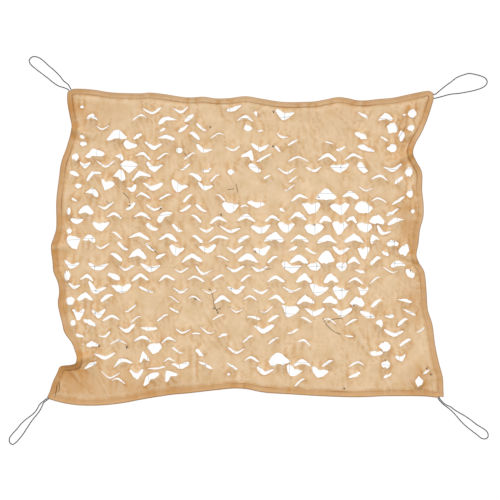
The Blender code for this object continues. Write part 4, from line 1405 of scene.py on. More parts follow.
    def lip(self, cut: Cut, share: np.ndarray, lip: Lip) -> np.ndarray:
        """Points of one lip of a cut, in the drawing's frame.

        Args:
            cut: The cut.
            share: From -1 to 1 along its gape.
            lip: Which lip.

        Returns:
            The points.
        """
        across, height = self.lip_height(cut, share, lip)
        height = height * cut.shape.value
        cos, sin = math.cos(cut.turn), math.sin(cut.turn)
        return np.stack([cut.x + across * cos - height * sin,
                         cut.y + across * sin + height * cos], axis=1)

    def loop(self, cut: Cut, points: int) -> np.ndarray:
        """The points round a cut's gap.

        Args:
            cut: The cut.
            points: How many steps each lip has.

        Returns:
            The ring, from tip to tip along the fixed lip and back along the leaf's.
        """
        share = -np.cos(np.pi * np.arange(points + 1) / points)
        fixed = self.lip(cut, share, Lip.FIXED)
        return np.vstack([fixed, self.lip(cut, share[-2:0:-1], Lip.LEAF)])

    def coarse_loop(self, cut: Cut) -> np.ndarray:
        """The few points that decide whether a cut clears its neighbours.

        Args:
            cut: The cut.

        Returns:
            The ring of points.
        """
        fixed = np.array([-1, -0.5, 0, 0.5, 1]) if cut.opening > self.wide_open else np.array([-1, 0, 1])
        leaf = np.array([0.5, 0, -0.5]) if cut.opening > self.half_open else np.array([0])
        return np.vstack([self.lip(cut, fixed, Lip.FIXED), self.lip(cut, leaf, Lip.LEAF)])

    def strip(self, one: np.ndarray, other: np.ndarray) -> float:
        """The width of cloth left between two gaps."""
        return min(-distance_inside(with_middles(one), other).max(),
                   -distance_inside(with_middles(other), one).max())

    def fitted(self, cut: Cut, seam: np.ndarray,
               placed: list[tuple[float, float, np.ndarray]]) -> Cut | None:
        """Makes a cut smaller and draws it inwards until it clears the hem and the rest.

        Args:
            cut: The cut that is wanted.
            seam: The hem's inner ring.
            placed: The place and ring of every cut so far.

        Returns:
            The cut that fits, or None.
        """
        inwards = -np.array([cut.x, cut.y]) / math.hypot(cut.x, cut.y)
        near = [gap for x, y, gap in placed if math.hypot(x - cut.x, y - cut.y) < self.pitch_x]
        for fitting in FITTINGS:
            shift = fitting.inwards * MM * inwards
            tried = cut._replace(
                x=cut.x + shift[0], y=cut.y + shift[1],
                half_width=cut.half_width * fitting.size, sag=cut.sag * fitting.size,
                opening=cut.opening * fitting.size,
            )
            gap = self.coarse_loop(tried)
            if distance_inside(gap, seam).min() < self.hem_margin:
                continue
            if all(self.strip(gap, other) > self.least_strip for other in near):
                return tried
        return None

    def fine_loops(self, cuts: list[Cut]) -> list[tuple[Cut, np.ndarray]]:
        """Every cut with its finely drawn ring, eased where it would nearly touch another or the hem.

        Args:
            cuts: The cuts, the widest first.

        Returns:
            Each cut as it was eased, and its ring.
        """
        hem = inset(self.outline.drawn(self.outline.fine_step), self.deepest_hem)
        done: list[tuple[Cut, np.ndarray]] = []
        for cut in cuts:
            near = [ring for other, ring in done
                    if math.hypot(other.x - cut.x, other.y - cut.y) < self.pitch_x]
            for _ in range(self.easings):
                points = self.lip_points if cut.opening > self.narrow else self.least_lip_points
                ring = self.loop(cut, points)
                if distance_inside(ring, hem).min() < self.least_fine_strip:
                    cut = cut._replace(x=cut.x * self.ease_place, y=cut.y * self.ease_place)
                elif all(self.strip(ring, other) > self.least_fine_strip for other in near):
                    done.append((cut, ring))
                    break
                else:
                    cut = cut._replace(opening=cut.opening * self.ease_opening,
                                       half_width=cut.half_width * self.ease_width)
        return done

    def build(self) -> list[tuple[Cut, np.ndarray]]:
        """Every cut that shows, the widest first, with the ring of points round its gap.

        Returns:
            Each cut and its ring.
        """
        seam = inset(self.outline.drawn(self.outline.coarse_step), self.hem_width)
        cuts, placed = [], []
        for wanted in sorted(self.wanted(), key=lambda cut: -cut.opening):
            cut = self.fitted(wanted, seam, placed)
            if cut and cut.opening >= self.least:
                cuts.append(cut)
                placed.append((cut.x, cut.y, self.coarse_loop(cut)))
        return self.fine_loops(cuts)


@dataclass(frozen=True)
class TwineGrid:
    """Where the square support net's twine runs under the cloth."""

    pitch: tuple[float, float] = (0.110, 0.0985)
    first: tuple[float, float] = (-0.058, 0.027)
    reach: tuple[int, int] = (8, 7)
    wander: float = 0.0075
    radius: float = 0.0006
    emboss: float = 0.0012
    emboss_width: float = 0.009
    knot_emboss: float = 0.0022
    knot_emboss_width: float = 0.012
    slow_waves: float = 1.4
    quick_waves: float = 3.7
    quick_share: float = 0.5
    family_seed: int = 100
    crossing_rounds: int = 3

    def place(self, family: int, number: int, along: np.ndarray) -> np.ndarray:
        """Where one twine lies across its own direction.

        Args:
            family: 0 for the uprights and 1 for the cross twines.
            number: Which of them, counted from the middle one.
            along: How far along it.

        Returns:
            Its x at each y for an upright, or its y at each x for a cross twine.
        """
        dice = random.Random(self.family_seed * family + number)
        phases = dice.uniform(0, math.tau), dice.uniform(0, math.tau)
        slow = np.sin(math.tau * self.slow_waves * along + phases[0])
        quick = np.sin(math.tau * self.quick_waves * along + phases[1])
        strays = self.wander * (slow + self.quick_share * quick)
        return self.first[family] + number * self.pitch[family] + strays

    def numbers(self, family: int) -> range:
        """The twines of one family."""
        return range(-self.reach[family], self.reach[family] + 1)

    def crossings(self) -> np.ndarray:
        """Where uprights and cross twines meet.

        Returns:
            The points.
        """
        found = []
        for i in self.numbers(0):
            for j in self.numbers(1):
                x, y = self.first[0] + i * self.pitch[0], self.first[1] + j * self.pitch[1]
                for _ in range(self.crossing_rounds):
                    x = float(self.place(0, i, np.array(y)))
                    y = float(self.place(1, j, np.array(x)))
                found.append((x, y))
        return np.array(found)

    def bulge(self, points: np.ndarray) -> np.ndarray:
        """How far the twine and its knots push the cloth up at each point.

        Args:
            points: Where it is read.

        Returns:
            A height for each point.
        """
        raised = np.zeros(len(points))
        for family in (0, 1):
            for number in self.numbers(family):
                away = points[:, family] - self.place(family, number, points[:, 1 - family])
                ridge = self.emboss * np.exp(-((away / self.emboss_width) ** 2))
                raised = np.maximum(raised, ridge)
        away = distance_to(tree_of(self.crossings()), points)
        lump = self.knot_emboss * np.exp(-((away / self.knot_emboss_width) ** 2))
        return np.maximum(raised, lump)


@dataclass
class ClothRelief:
    """How high the cloth lies at each place of the drawing."""

    cuts: LeafCuts
    twine: TwineGrid
    open_cuts: list[tuple[Cut, np.ndarray]]
    wave_height: float = 0.0022
    crest_share: float = 0.30
    crest_width: float = 0.4
    crease_height: float = 0.0021
    upright_share: float = 0.6
    upright_sharpness: float = 3.0
    slanted_sharpness: float = 3.4
    slant: tuple[float, float] = (0.8, 0.6)
    upright: Grain = Grain(0.034, 0.19, 3.1)
    upright_places: Grain = Grain(0.21, 0.26, 1.3)
    slanted: Grain = Grain(0.05, 0.16, 7.7)
    slanted_places: Grain = Grain(0.17, 0.2, 5.9)
    upright_middle: float = 0.5
    slanted_middle: float = 0.4
    place_swing: float = 0.9
    least_upright: float = 0.1
    crumple_height: float = 0.0017
    fine_share: float = 0.22
    crumple: Grain = Grain(0.055, 0.075, 9.4)
    fine_crumple: Grain = Grain(0.017, 0.024, 2.6)
    lift_at_rest: float = 0.003
    lift_power: float = 1.5
    ajar_opening: float = 0.005
    lift_per_opening: float = 0.28
    most_lift: float = 0.013
    leaf_reach: float = 2.4
    leaf_bend: float = 0.021
    bend_power: float = 1.7
    overhang: float = 0.3
    curl: float = 0.0012
    curl_reach: float = 0.003

    def rest(self, points: np.ndarray) -> np.ndarray:
        """The long waves, and the ridges that run in from the hem.

        Args:
            points: Where it is read.

        Returns:
            A height for each point.
        """
        x, y = points[:, 0], points[:, 1]
        low = self.wave_height * sum(
            w.share * np.sin(math.tau * (w.per_x * x + w.per_y * y) + w.phase) for w in WAVES
        )
        ridge = np.zeros(len(points))
        for r in RIDGES:
            start, end = np.array([r.x1, r.y1]) * MM, np.array([r.x2, r.y2]) * MM
            run = end - start
            share = np.clip((points - start) @ run / (run @ run), 0, 1)
            away = np.linalg.norm(points - start - share[:, None] * run, axis=1) / (r.half_width * MM)
            section = (1 - self.crest_share) * np.exp(-(away**2))
            section += self.crest_share * np.exp(-((away / self.crest_width) ** 2))
            ridge = np.maximum(ridge, r.height * MM * (1 - share**2) * section)
        return np.maximum(0.0, low + ridge)

    def creases(self, points: np.ndarray) -> np.ndarray:
        """Fine upright creases and a light crumple, stronger in some stretches than others.

        Args:
            points: Where it is read.

        Returns:
            A height for each point.
        """
        x, y = points[:, 0], points[:, 1]
        along, across = self.slant
        turned = np.stack([along * x + across * y, along * y - across * x], axis=1)
        upright = np.maximum(0, 1 - self.upright_sharpness * np.abs(noise_over(points, self.upright))) ** 2
        slanted = np.maximum(0, 1 - self.slanted_sharpness * np.abs(noise_over(turned, self.slanted))) ** 2
        here = self.upright_middle + self.place_swing * noise_over(points, self.upright_places)
        here = np.clip(here, self.least_upright, 1)
        there = self.slanted_middle + self.place_swing * noise_over(points, self.slanted_places)
        there = np.clip(there, 0, 1)
        soft = 0.5 + 0.5 * noise_over(points, self.crumple)
        fine = 0.5 + 0.5 * noise_over(points, self.fine_crumple)
        return (self.crease_height * (self.upright_share * upright * here + slanted * there)
                + self.crumple_height * (soft + self.fine_share * fine))

    def leaf_lift(self, cut: Cut) -> float:
        """How high a cut's leaf stands at the middle of its free lip."""
        ajar = min(1.0, cut.opening / self.ajar_opening) ** self.lift_power
        return min(self.lift_at_rest * ajar + self.lift_per_opening * cut.opening, self.most_lift)

    def lifts(self, points: np.ndarray) -> np.ndarray:
        """How far the leaves' free lips raise the cloth at each point.

        Args:
            points: Where it is read.

        Returns:
            A height for each point.
        """
        raised = np.zeros(len(points))
        for cut, _ in self.open_cuts:
            dx, dy = points[:, 0] - cut.x, points[:, 1] - cut.y
            near = np.flatnonzero(np.hypot(dx, dy) < self.leaf_reach * self.cuts.half_width)
            cos, sin = math.cos(cut.turn), math.sin(cut.turn)
            across = (dx[near] * cos + dy[near] * sin) / cut.half_width
            height = (dy[near] * cos - dx[near] * sin) * cut.shape.value
            share = (across - cut.lean * (1 - cut.reach)) / cut.reach
            inner = np.abs(share) < 1
            near, share, height = near[inner], share[inner], height[inner]
            _, lip = self.cuts.lip_height(cut, share, Lip.LEAF)
            depth = height - lip
            on_leaf = depth > -self.overhang * cut.opening * (1 - share**2) - 1e-5
            depth = np.maximum(depth, 0)
            fade = (1 - share**2) * np.exp(-((depth / self.leaf_bend) ** self.bend_power))
            lip_roll = self.curl * (1 - share**2) * np.exp(-depth / self.curl_reach)
            lift = np.where(on_leaf, self.leaf_lift(cut) * fade + lip_roll, 0)
            raised[near] = np.maximum(raised[near], lift)
        return raised

    def underside(self, points: np.ndarray) -> np.ndarray:
        """How far the cloth's lower face stands off the ground at each point."""
        base = self.rest(points) + self.creases(points)
        return np.maximum(base, self.twine.bulge(points)) + self.lifts(points)


@dataclass(frozen=True)
class ClothTones:
    """How strongly each thing warms or darkens the cloth's colour, and over which distance: painted shade
    in the troughs, on the ridges, at the cut lips and along the hem, a painted highlight on the crests, and
    warmth near the cuts, where they gape and in the listed patches.
    """

    patches: Grain = Grain(0.045, 0.045, 5.0)
    patch_swing: float = 1.5
    gap_warmth: float = 0.34
    gap_warmth_reach: float = 0.009
    gap_shade: float = 0.26
    gap_shade_reach: float = 0.0022
    drawn_warmth: float = 0.18
    drawn_reach: float = 0.09
    drawn_from: float = 0.010
    drawn_span: float = 0.025
    ridge_warmth: float = 0.55
    ridge_from: float = 0.004
    ridge_span: float = 0.010
    hem_warmth: float = 0.36
    bend_span: float = 0.0006
    trough_warmth: float = 0.45
    crest_warmth: float = 0.2
    trough_shade: float = 0.17
    # How the painted shade of the seam's rows swings along the hem.
    least_seam_shade: float = 0.35
    most_seam_shade: float = 1.2
    seam_shade_change: float = 1.3
    seam_shade_size: float = 0.12
    tint_warmth: float = 0.5
    least_tinted: float = 0.6
    tinted_span: float = 0.8
    tint_shade: float = 0.22


@dataclass
class LeafCloth:
    """The one cloth: a turned and stitched hem round a sheet that hundreds of leaf cuts pierce."""

    outline: NetOutline
    cuts: LeafCuts
    twine: TwineGrid
    tone: ClothTones = ClothTones()
    thickness: float = 0.0009
    field_step: float = 0.0088
    field_jitter: float = 0.0012
    field_seed: int = 11
    loop_clearance: float = 0.0046
    hem_sway: float = 0.06
    hem_sway_size: float = 0.09
    bead_swell: float = 0.10
    bead_swell_size: float = 0.035
    hem_blend: float = 0.012
    pucker_height: float = 0.0024
    pucker_pitch: float = 0.019
    pucker_stretch: float = 0.23
    pucker_reach: float = 0.024
    pucker_reach_on_hem: float = 0.010
    pucker_ends: float = 0.14
    least_pucker: float = 0.2
    most_pucker: float = 1.2
    pucker_below: float = 0.5
    seam_inset: float = 0.0213
    sharp_degrees: float = 50.0
    relief: ClothRelief = field(init=False)
    ring: np.ndarray = field(init=False)
    run: np.ndarray = field(init=False)
    rows: list[np.ndarray] = field(init=False)

    def __post_init__(self) -> None:
        """Works out the cuts, the relief and the hem's rows."""
        self.relief = ClothRelief(self.cuts, self.twine, self.cuts.build())
        self.ring = self.outline.drawn(self.outline.fine_step)
        self.run = run_along(self.ring)
        sway = 1 + self.hem_sway * noise_along(self.run, self.hem_sway_size, 4.2)
        self.rows = [inset(self.ring, row.inset * MM * sway) for row in HEM_ROWS]

    def field_points(self) -> np.ndarray:
        """An uneven triangular grid over the cloth, clear of the hem and of every gap.

        Returns:
            The points.
        """
        border = self.rows[-1]
        reach = np.abs(border).max(axis=0)
        lines = np.arange(-reach[1], reach[1], self.field_step * math.sqrt(0.75))
        places = np.arange(-reach[0], reach[0], self.field_step)
        grid = np.array([(x + 0.5 * self.field_step * (k % 2), y)
                         for k, y in enumerate(lines) for x in places])
        dice = np.random.default_rng(self.field_seed)
        grid += dice.uniform(-self.field_jitter, self.field_jitter, grid.shape)
        grid = grid[is_inside(grid, border)]
        away = distance_to(tree_of(np.vstack([border, *self.dense_rings()])), grid)
        return grid[away > self.loop_clearance]

    def dense_rings(self) -> list[np.ndarray]:
        """Each gap's ring with a point between each two of its own."""
        return [with_middles(ring) for _, ring in self.relief.open_cuts]

    def triangulate(self) -> tuple[np.ndarray, list[tuple[int, ...]]]:
        """Fills the sheet inside the hem, leaving the gaps open.

        Returns:
            The points, the hem's inner row first, and the triangles, facing up.
        """
        loops = [self.rows[-1], *(ring for _, ring in self.relief.open_cuts)]
        flat = np.vstack([*loops, self.field_points()])
        edges, start = [], 0
        for loop in loops:
            count = len(loop)
            edges += [(start + k, start + (k + 1) % count) for k in range(count)]
            start += count
        inside_only, weld = 1, 1e-7
        found = delaunay_2d_cdt([tuple(p) for p in flat], edges, [], inside_only, weld)
        if any(not first for first in found[3]):
            raise ValueError("two rings cross")
        source = np.array([first[0] for first in found[3]])
        triangles = source[np.array([tuple(t) for t in found[2]])]
        a, b, c = (flat[triangles[:, k]] for k in range(3))
        keep = np.ones(len(triangles), bool)
        centres = (a + b + c) / 3
        for cut, ring in self.relief.open_cuts:
            away = np.hypot(centres[:, 0] - cut.x, centres[:, 1] - cut.y)
            near = np.flatnonzero((away < 2 * self.cuts.half_width) & keep)
            keep[near] = ~is_inside(centres[near], ring)
        ab, ac = b - a, c - a
        clockwise = ab[:, 0] * ac[:, 1] - ab[:, 1] * ac[:, 0] < 0
        triangles[clockwise] = triangles[clockwise][:, ::-1]
        return flat, [tuple(t) for t in triangles[keep].tolist()]

    def puckers(self, run: np.ndarray, depth: np.ndarray) -> np.ndarray:
        """The small gathers that the seam draws into the cloth.

        Args:
            run: How far round the hem each point lies.
            depth: How far in from the edge.

        Returns:
            How far each point is raised.
        """
        wave = noise_along(run, self.pucker_pitch, 0.3)
        strength = 0.5 + noise_along(run, self.pucker_stretch, 8.1)
        strength = np.clip(strength, self.least_pucker, self.most_pucker)
        beyond = depth - self.seam_inset
        reach = np.where(beyond < 0, np.exp(-((beyond / self.pucker_reach_on_hem) ** 2)),
                         np.exp(-beyond / self.pucker_reach))
        return self.pucker_height * strength * (0.5 + wave) * reach

    def heights(self, flat: np.ndarray) -> tuple[np.ndarray, np.ndarray]:
        """The lower and upper face of the whole cloth.

        Args:
            flat: The points inside the hem, the hem's inner row first.

        Returns:
            The lower and the upper height of every point: the hem's rows, then flat.
        """
        low, high = [], []
        swell = 1 + self.bead_swell * noise_along(self.run, self.bead_swell_size, 6.6)
        for row, points in zip(HEM_ROWS[:-1], self.rows[:-1]):
            ground = self.relief.rest(points)
            pucker = self.puckers(self.run, np.full(len(self.ring), row.inset * MM))
            low.append(np.maximum(0, ground + row.bottom * MM + self.pucker_below * pucker))
            high.append(ground + row.top * MM * swell + pucker)
        tree = tree_of(self.rows[-1])
        found = [tree.find((x, y, 0.0)) for x, y in flat]
        run = self.run[np.array([index for _, index, _ in found])]
        depth = np.array([away for _, _, away in found]) + HEM_ROWS[-1].inset * MM
        pucker = np.where(depth < self.pucker_ends, self.puckers(run, depth), 0)
        inner = np.clip((depth - HEM_ROWS[-1].inset * MM) / self.hem_blend, 0, 1)
        under = self.relief.rest(flat) * (1 - inner) + self.relief.underside(flat) * inner
        under = np.maximum(0, under + pucker)
        low.append(under)
        high.append(under + self.thickness)
        return np.concatenate(low), np.concatenate(high)

    def hem_faces(self) -> list[tuple[int, ...]]:
        """The hem's quads, facing up.

        Returns:
            Each quad's four points.
        """
        count = len(self.ring)
        faces = []
        for row in range(len(HEM_ROWS) - 1):
            for k in range(count):
                after = (k + 1) % count
                faces.append((row * count + k, (row + 1) * count + k,
                              (row + 1) * count + after, row * count + after))
        return [face[::-1] for face in faces]

    def tones(self, points: np.ndarray, high: np.ndarray,
              faces: list[tuple[int, ...]]) -> tuple[np.ndarray, np.ndarray]:
        """How warm and how dark the cloth is painted at each point, much of it painted shade.

        Args:
            points: Every point of one face of the cloth, from above.
            high: Its height.
            faces: The faces between them.

        Returns:
            The warmth and the shade, from 0 to 1.
        """
        tone = self.tone
        count = len(self.ring)
        away = distance_to(tree_of(np.vstack(self.dense_rings())), points)
        drawn_out = self.cuts.gapes(points, tone.drawn_reach)
        patchy = np.clip(0.5 + tone.patch_swing * noise_over(points, tone.patches), 0, 1)
        warmth = tone.gap_warmth * patchy * np.exp(-away / tone.gap_warmth_reach)
        drawn_out = np.clip((drawn_out - tone.drawn_from) / tone.drawn_span, 0, 1)
        warmth += tone.drawn_warmth * patchy * drawn_out
        # Painted shade on the ridges that run in from the hem: warmer.
        ridge = np.clip((self.relief.rest(points) - tone.ridge_from) / tone.ridge_span, 0, 1)
        warmth += tone.ridge_warmth * ridge
        warmth[:count * (len(HEM_ROWS) - 1)] += tone.hem_warmth
        # Painted shade in the troughs, warmer, and a painted highlight on the crests, less warm.
        bend = np.clip(self.bend_of(points, high, faces) / tone.bend_span, -1, 1)
        warmth += np.where(bend > 0, tone.trough_warmth * bend, tone.crest_warmth * bend)
        shade = np.zeros(len(points))
        # Painted shade along the hem: darkest at the rolled edge and in the seam's groove, the seam's rows
        # stronger in some stretches than others.
        seam_shading = 0.5 + tone.seam_shade_change * noise_along(self.run, tone.seam_shade_size, 3.3)
        for row, section in enumerate(HEM_ROWS[:-1]):
            patches = 1 if row < FIRST_SEWN_ROW else np.clip(seam_shading, tone.least_seam_shade, tone.most_seam_shade)
            shade[row * count:(row + 1) * count] = section.wear_and_shade * patches
        # More painted shade in the troughs, darker.
        shade += tone.trough_shade * np.clip(bend, 0, 1)
        # Painted shade along the cut lips, where the leaves curl.
        shade += tone.gap_shade * patchy * np.exp(-away / tone.gap_shade_reach)
        # The listed patches, painted warmer and darker, or paler.
        tinted = sum(patch.strength * bump(patch, points[:, 0], points[:, 1]) for patch in TINT_PATCHES)
        warmth += tone.tint_warmth * tinted * (tone.least_tinted + tone.tinted_span * patchy)
        shade += tone.tint_shade * tinted
        return np.clip(warmth, 0, 1), np.clip(shade, 0, 1)

    def bend_of(self, points: np.ndarray, high: np.ndarray,
                faces: list[tuple[int, ...]]) -> np.ndarray:
        """How far each point lies below the mean of its neighbours, positive in a trough.

        Args:
            points: Every point of one face of the cloth.
            high: Its height.
            faces: The faces between them.

        Returns:
            One depth for each point.
        """
        pairs = np.array([(face[k], face[(k + 1) % len(face)]) for face in faces
                          for k in range(len(face))])
        total, weight = np.zeros(len(points)), np.zeros(len(points))
        np.add.at(total, pairs[:, 0], high[pairs[:, 1]])
        np.add.at(weight, pairs[:, 0], 1)
        np.add.at(total, pairs[:, 1], high[pairs[:, 0]])
        np.add.at(weight, pairs[:, 1], 1)
        return total / np.maximum(weight, 1) - high

    def build(self) -> bpy.types.Object:
        """Makes the cloth as one closed shell, with its map and its tones.

        Returns:
            The finished piece, undressed.
        """
        flat, triangles = self.triangulate()
        low, high = self.heights(flat)
        first = len(self.ring) * (len(HEM_ROWS) - 1)
        points = np.vstack([*self.rows[:-1], flat])
        faces = self.hem_faces() + [tuple(i + first for i in t) for t in triangles]
        warmth, shade = self.tones(points, high, faces)
        count = len(points)
        vertices = np.vstack([self.outline.stood(points, low), self.outline.stood(points, high)])
        skin = [tuple(i + count for i in face) for face in faces] + [face[::-1] for face in faces]
        sides = {(f[k], f[(k + 1) % len(f)]) for f in faces for k in range(len(f))}
        rims = sorted((a, b) for a, b in sides if (b, a) not in sides)
        skin += [(a, b, b + count, a + count) for a, b in rims]
        mesh = bpy.data.meshes.new("leaf_cloth")
        mesh.from_pydata(vertices.tolist(), [], skin)
        for name, values in (("warmth", warmth), ("shade", shade)):
            layer = mesh.attributes.new(name, "FLOAT", "POINT")
            layer.data.foreach_set("value", np.concatenate([values, values]).astype(np.float32))
        corners = np.empty(len(mesh.loops), np.int32)
        mesh.loops.foreach_get("vertex_index", corners)
        layer = mesh.uv_layers.new(name="cloth_map")
        layer.uv.foreach_set("vector", vertices[corners, :2].astype(np.float32).ravel())
        mesh.shade_smooth()
        mesh.set_sharp_from_angle(angle=math.radians(self.sharp_degrees))
        return link_piece("leaf_cloth", mesh)

    def top_of(self, line: np.ndarray) -> np.ndarray:
        """The cloth's upper height along a line that lies inside the hem."""
        return self.relief.underside(line) + self.thickness


@dataclass
class HemSewing:
    """The hem's lock stitch."""

    cloth: LeafCloth
    pitch: float = 0.0048
    stitch_length: float = 0.0036
    thread_radius: float = 0.00035
    thread_above: float = 0.4

    def seam(self) -> np.ndarray:
        """The seam's line, just on top of the cloth.

        Returns:
            The line's points.
        """
        cloth = self.cloth
        line = inset(cloth.ring, cloth.seam_inset)
        row = HEM_ROWS[STITCHED_ROW]
        pucker = cloth.puckers(cloth.run, np.full(len(line), row.inset * MM))
        height = cloth.relief.rest(line) + row.top * MM + pucker
        return cloth.outline.stood(line, height + self.thread_above * self.thread_radius)

    def build(self, tree: GrowthTree, thread: bpy.types.Material) -> bpy.types.Object:
        """Grows the stitches.

        Args:
            tree: The stitch row's tree.
            thread: Their material.

        Returns:
            The finished piece.
        """
        seam = self.seam()
        source = polyline_object("seam_line", [np.vstack([seam, seam[:1]])])
        return tree.grow("hem_stitches", source, {
            "Pitch": self.pitch, "Stitch Length": self.stitch_length,
            "Radius": self.thread_radius, "Material": thread,
        })


@dataclass
class SupportNet:
    """The square twine net that carries the cloth, knotted at every crossing."""

    cloth: LeafCloth
    twine: TwineGrid
    step: float = 0.010
    turns_per_metre: float = 260.0
    half_span: float = 0.85
    least_points: int = 30
    under_hem: float = 0.017
    floor_gap: float = 0.0001
    hop_reach: float = 0.006
    knot_rise: float = 0.0004
    knot_size: float = 1.0

    def lines(self) -> list[np.ndarray]:
        """The twine's runs, each from hem to hem.

        Returns:
            The points of each run.
        """
        border = inset(self.cloth.ring, self.under_hem)
        knots = tree_of(self.twine.crossings())
        made = []
        for family in (0, 1):
            for number in self.twine.numbers(family):
                along = np.arange(-self.half_span, self.half_span, self.step)
                line = np.stack([self.twine.place(family, number, along), along], axis=1)
                line = line[:, ::-1] if family else line
                line = longest_run(line, is_inside(line, border))
                if len(line) < self.least_points:
                    continue
                hop = np.exp(-((distance_to(knots, line) / self.hop_reach) ** 2)) * (family == 0)
                height = self.twine.radius + self.floor_gap + 2 * self.twine.radius * hop
                made.append(self.cloth.outline.stood(line, height))
        return made

    def build(self, work: LineWork) -> bpy.types.Object:
        """Twists the twine."""
        return work.twist("support_net", self.lines(), self.twine.radius, self.turns_per_metre)

    def build_knots(self, work: LineWork) -> bpy.types.Object:
        """Ties a knot on every crossing.

        Args:
            work: The twine's worker.

        Returns:
            The finished piece.
        """
        places = self.twine.crossings()
        places = places[is_inside(places, inset(self.cloth.ring, self.under_hem))]
        points = self.cloth.outline.stood(places, 2 * self.twine.radius + self.knot_rise)
        return work.tie("net_knots", points, self.knot_size)


@dataclass
class StrayTwine:
    """Bits of the support twine that lie on the cloth, and the knots that tie it down."""

    cloth: LeafCloth
    radius: float = 0.0009
    step: float = 0.004
    sunk: float = 0.010
    floor_gap: float = 0.0002
    turns_per_metre: float = 200.0
    knot_rise: float = 0.001
    knot_size: float = 1.4

    def line(self, strand: Strand) -> np.ndarray:
        """One bit of twine on the cloth, its ends dipping through it.

        Args:
            strand: Where it runs.

        Returns:
            The line's points.
        """
        flat = even_curve(np.array(strand.route) * MM, self.step)
        run = run_along(flat)
        inside = np.clip(np.minimum(run, run[-1] - run) / self.sunk, 0, 1)
        high, low = self.cloth.top_of(flat) + self.radius, self.radius + self.floor_gap
        return self.cloth.outline.stood(flat, high * inside + low * (1 - inside))

    def build(self, work: LineWork) -> bpy.types.Object:
        """Twists the strands."""
        lines = [self.line(strand) for strand in STRANDS]
        return work.twist("stray_twine", lines, self.radius, self.turns_per_metre)

    def build_knots(self, work: LineWork) -> bpy.types.Object:
        """Ties the knots that show on the cloth.

        Args:
            work: The twine's worker.

        Returns:
            The finished piece.
        """
        places = [*KNOTS, *(strand.route[-1] for strand in STRANDS if strand.knotted)]
        flat = np.array(places, float) * MM
        points = self.cloth.outline.stood(flat, self.cloth.top_of(flat) + self.knot_rise)
        return work.tie("cloth_knots", points, self.knot_size)


@dataclass
class CornerLoop:
    """A loop of edge cord that comes out of the hem at a corner and goes back in."""

    corner: Corner
    outline: NetOutline
    diameter: float = 0.0045
    step: float = 0.0035
    lead: float = 0.008
    touch_gap: float = 0.0003
    floor_gap: float = 0.00005
    turns_per_metre: float = 95.0

    def route(self) -> np.ndarray:
        """The cord's middle line, from one strand's end round to the other's.

        Returns:
            The line's points.
        """
        middle, facing, along = self.outline.mouth_frame(self.corner)
        side = MOUTHS[self.corner].strand_spacing * MM / 2 * along
        near = middle + self.touch_gap * facing
        lead = middle + self.lead * facing
        free = [np.array(p) * MM for p in LOOP_ROUTES[self.corner]]
        first = 1 if np.dot(free[0] - middle, along) > np.dot(free[-1] - middle, along) else -1
        points = [near + first * side, lead + first * side, *free,
                  lead - first * side, near - first * side]
        return self.outline.stood(even_curve(points, self.step), self.diameter / 2 + self.floor_gap)

    def build(self, work: LineWork) -> bpy.types.Object:
        """Args:
            work: The cord's worker.

        Returns:
            The finished piece.
        """
        route = self.route()
        name = f"cord_{self.corner.value}"
        piece = work.twist(name, [route], self.diameter / 2, self.turns_per_metre)
        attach(piece, BODY)
        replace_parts(piece, f"loop_{self.corner.value}")
        LOG.info("%s: %.0f mm of cord", name, run_along(route)[-1] / MM)
        return piece


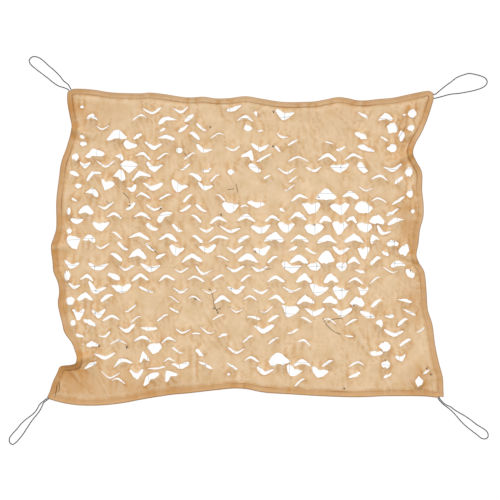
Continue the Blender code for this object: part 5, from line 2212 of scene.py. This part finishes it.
@dataclass(frozen=True)
class Studio:
    """A white floor under soft light, and a camera that looks straight down."""

    view_width: float = 2.0
    view_centre: tuple[float, float] = (0.0181, -0.0114)
    camera_height: float = 4.2
    film_width: float = 36.0
    floor_size: float = 60.0
    floor_gap: float = 0.0005
    floor_grey: float = 0.12
    floor_glow: float = 0.90
    sky: float = 0.68
    sky_color: tuple[float, float, float] = (0.98, 0.99, 1.0)
    key_power: float = 1.65
    key_color: tuple[float, float, float] = (1.0, 0.99, 0.97)
    key_spread_degrees: float = 55.0
    key_tilt_degrees: float = 40.0
    key_turn_degrees: float = 8.0

    def build_camera(self) -> None:
        """Sets the camera over the net."""
        lens = bpy.data.cameras.new("camera")
        lens.sensor_width = self.film_width
        lens.lens = lens.sensor_width * self.camera_height / self.view_width
        lens.clip_end = 100.0
        camera = bpy.data.objects.new("camera", lens)
        camera.location = (*self.view_centre, self.camera_height)
        bpy.context.scene.collection.objects.link(camera)
        bpy.context.scene.camera = camera

    def build_floor(self) -> None:
        """Lays the floor, which gives back a little light of its own."""
        tree = ShaderTree("white_floor")
        tree.set_shader(
            Base_Color=(*[self.floor_grey] * 3, 1.0), Roughness=0.95, Specular_IOR_Level=0.1,
            Emission_Color=(1.0, 1.0, 1.0, 1.0), Emission_Strength=self.floor_glow,
        )
        half, low = self.floor_size / 2, -self.floor_gap
        mesh = bpy.data.meshes.new("floor")
        corners = [(-half, -half, low), (half, -half, low), (half, half, low), (-half, half, low)]
        mesh.from_pydata(corners, [], [(0, 1, 2, 3)])
        mesh.materials.append(tree.material)
        link_piece("floor", mesh)

    def build_lights(self) -> None:
        """Hangs one broad lamp beyond the net's top edge, and lights the room evenly."""
        lamp = bpy.data.lights.new("key", "SUN")
        lamp.energy = self.key_power
        lamp.angle = math.radians(self.key_spread_degrees)
        lamp.color = self.key_color
        key = bpy.data.objects.new("key", lamp)
        key.rotation_euler = (-math.radians(self.key_tilt_degrees), 0, math.radians(self.key_turn_degrees))
        bpy.context.scene.collection.objects.link(key)
        world = bpy.data.worlds.new("room")
        world.use_nodes = True
        backdrop = world.node_tree.nodes["Background"]
        backdrop.inputs["Color"].default_value = (*self.sky_color, 1.0)
        backdrop.inputs["Strength"].default_value = self.sky
        bpy.context.scene.world = world

    def build(self) -> None:
        """Builds the floor and the lights, and sets how the picture is developed."""
        self.build_floor()
        self.build_lights()
        view = bpy.context.scene.view_settings
        view.view_transform = "Standard"
        view.look = "None"


def ride(piece: bpy.types.Object) -> bpy.types.Object:
    """Puts a piece on the net's one body and logs how many triangles it has.

    Args:
        piece: The finished piece.

    Returns:
        The same piece.
    """
    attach(piece, BODY)
    triangles = sum(len(face.vertices) - 2 for face in piece.data.polygons)
    LOG.info("%s: %d triangles", piece.name, triangles)
    return piece


def main() -> None:
    """Builds the camera, the cords, the cloth and its sewing, the twine and the studio."""
    logging.basicConfig(level=logging.INFO, format="%(name)s: %(message)s")
    studio, outline, twine = Studio(), NetOutline(), TwineGrid()
    studio.build_camera()
    edge_cord = TwistedFinish("edge_cord", (26, 26, 22), (9, 9, 7), 700.0).build()
    net_twine = TwistedFinish("net_twine", (150, 158, 164), (98, 104, 110), 900.0).build()
    dark_twine = TwistedFinish("dark_twine", (70, 66, 46), (28, 28, 18), 900.0).build()
    thread = TwistedFinish("sewing_thread", (196, 150, 102), (150, 104, 62), 1500.0).build()
    trees = twisted_line_tree(), knot_tree()
    cord_work = LineWork(edge_cord, *trees, hollow_share=0.88)
    for corner in Corner:
        CornerLoop(corner, outline).build(cord_work)

    cloth = LeafCloth(outline, LeafCuts(outline), twine)
    LOG.info("%d cuts are open", len(cloth.relief.open_cuts))
    panel = cloth.build()
    panel.data.materials.append(SandClothFinish().build())
    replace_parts(ride(panel), "net_panel")
    stitches = ride(HemSewing(cloth).build(stitch_tree(), thread))

    knot = knot_shape(twine.radius)
    for net, finish in ((SupportNet(cloth, twine), net_twine), (StrayTwine(cloth), dark_twine)):
        work = LineWork(finish, *trees, knot)
        ride(net.build(work))
        ride(net.build_knots(work))
    bpy.data.objects.remove(knot)
    studio.build()


if __name__ == "__main__":
    main()
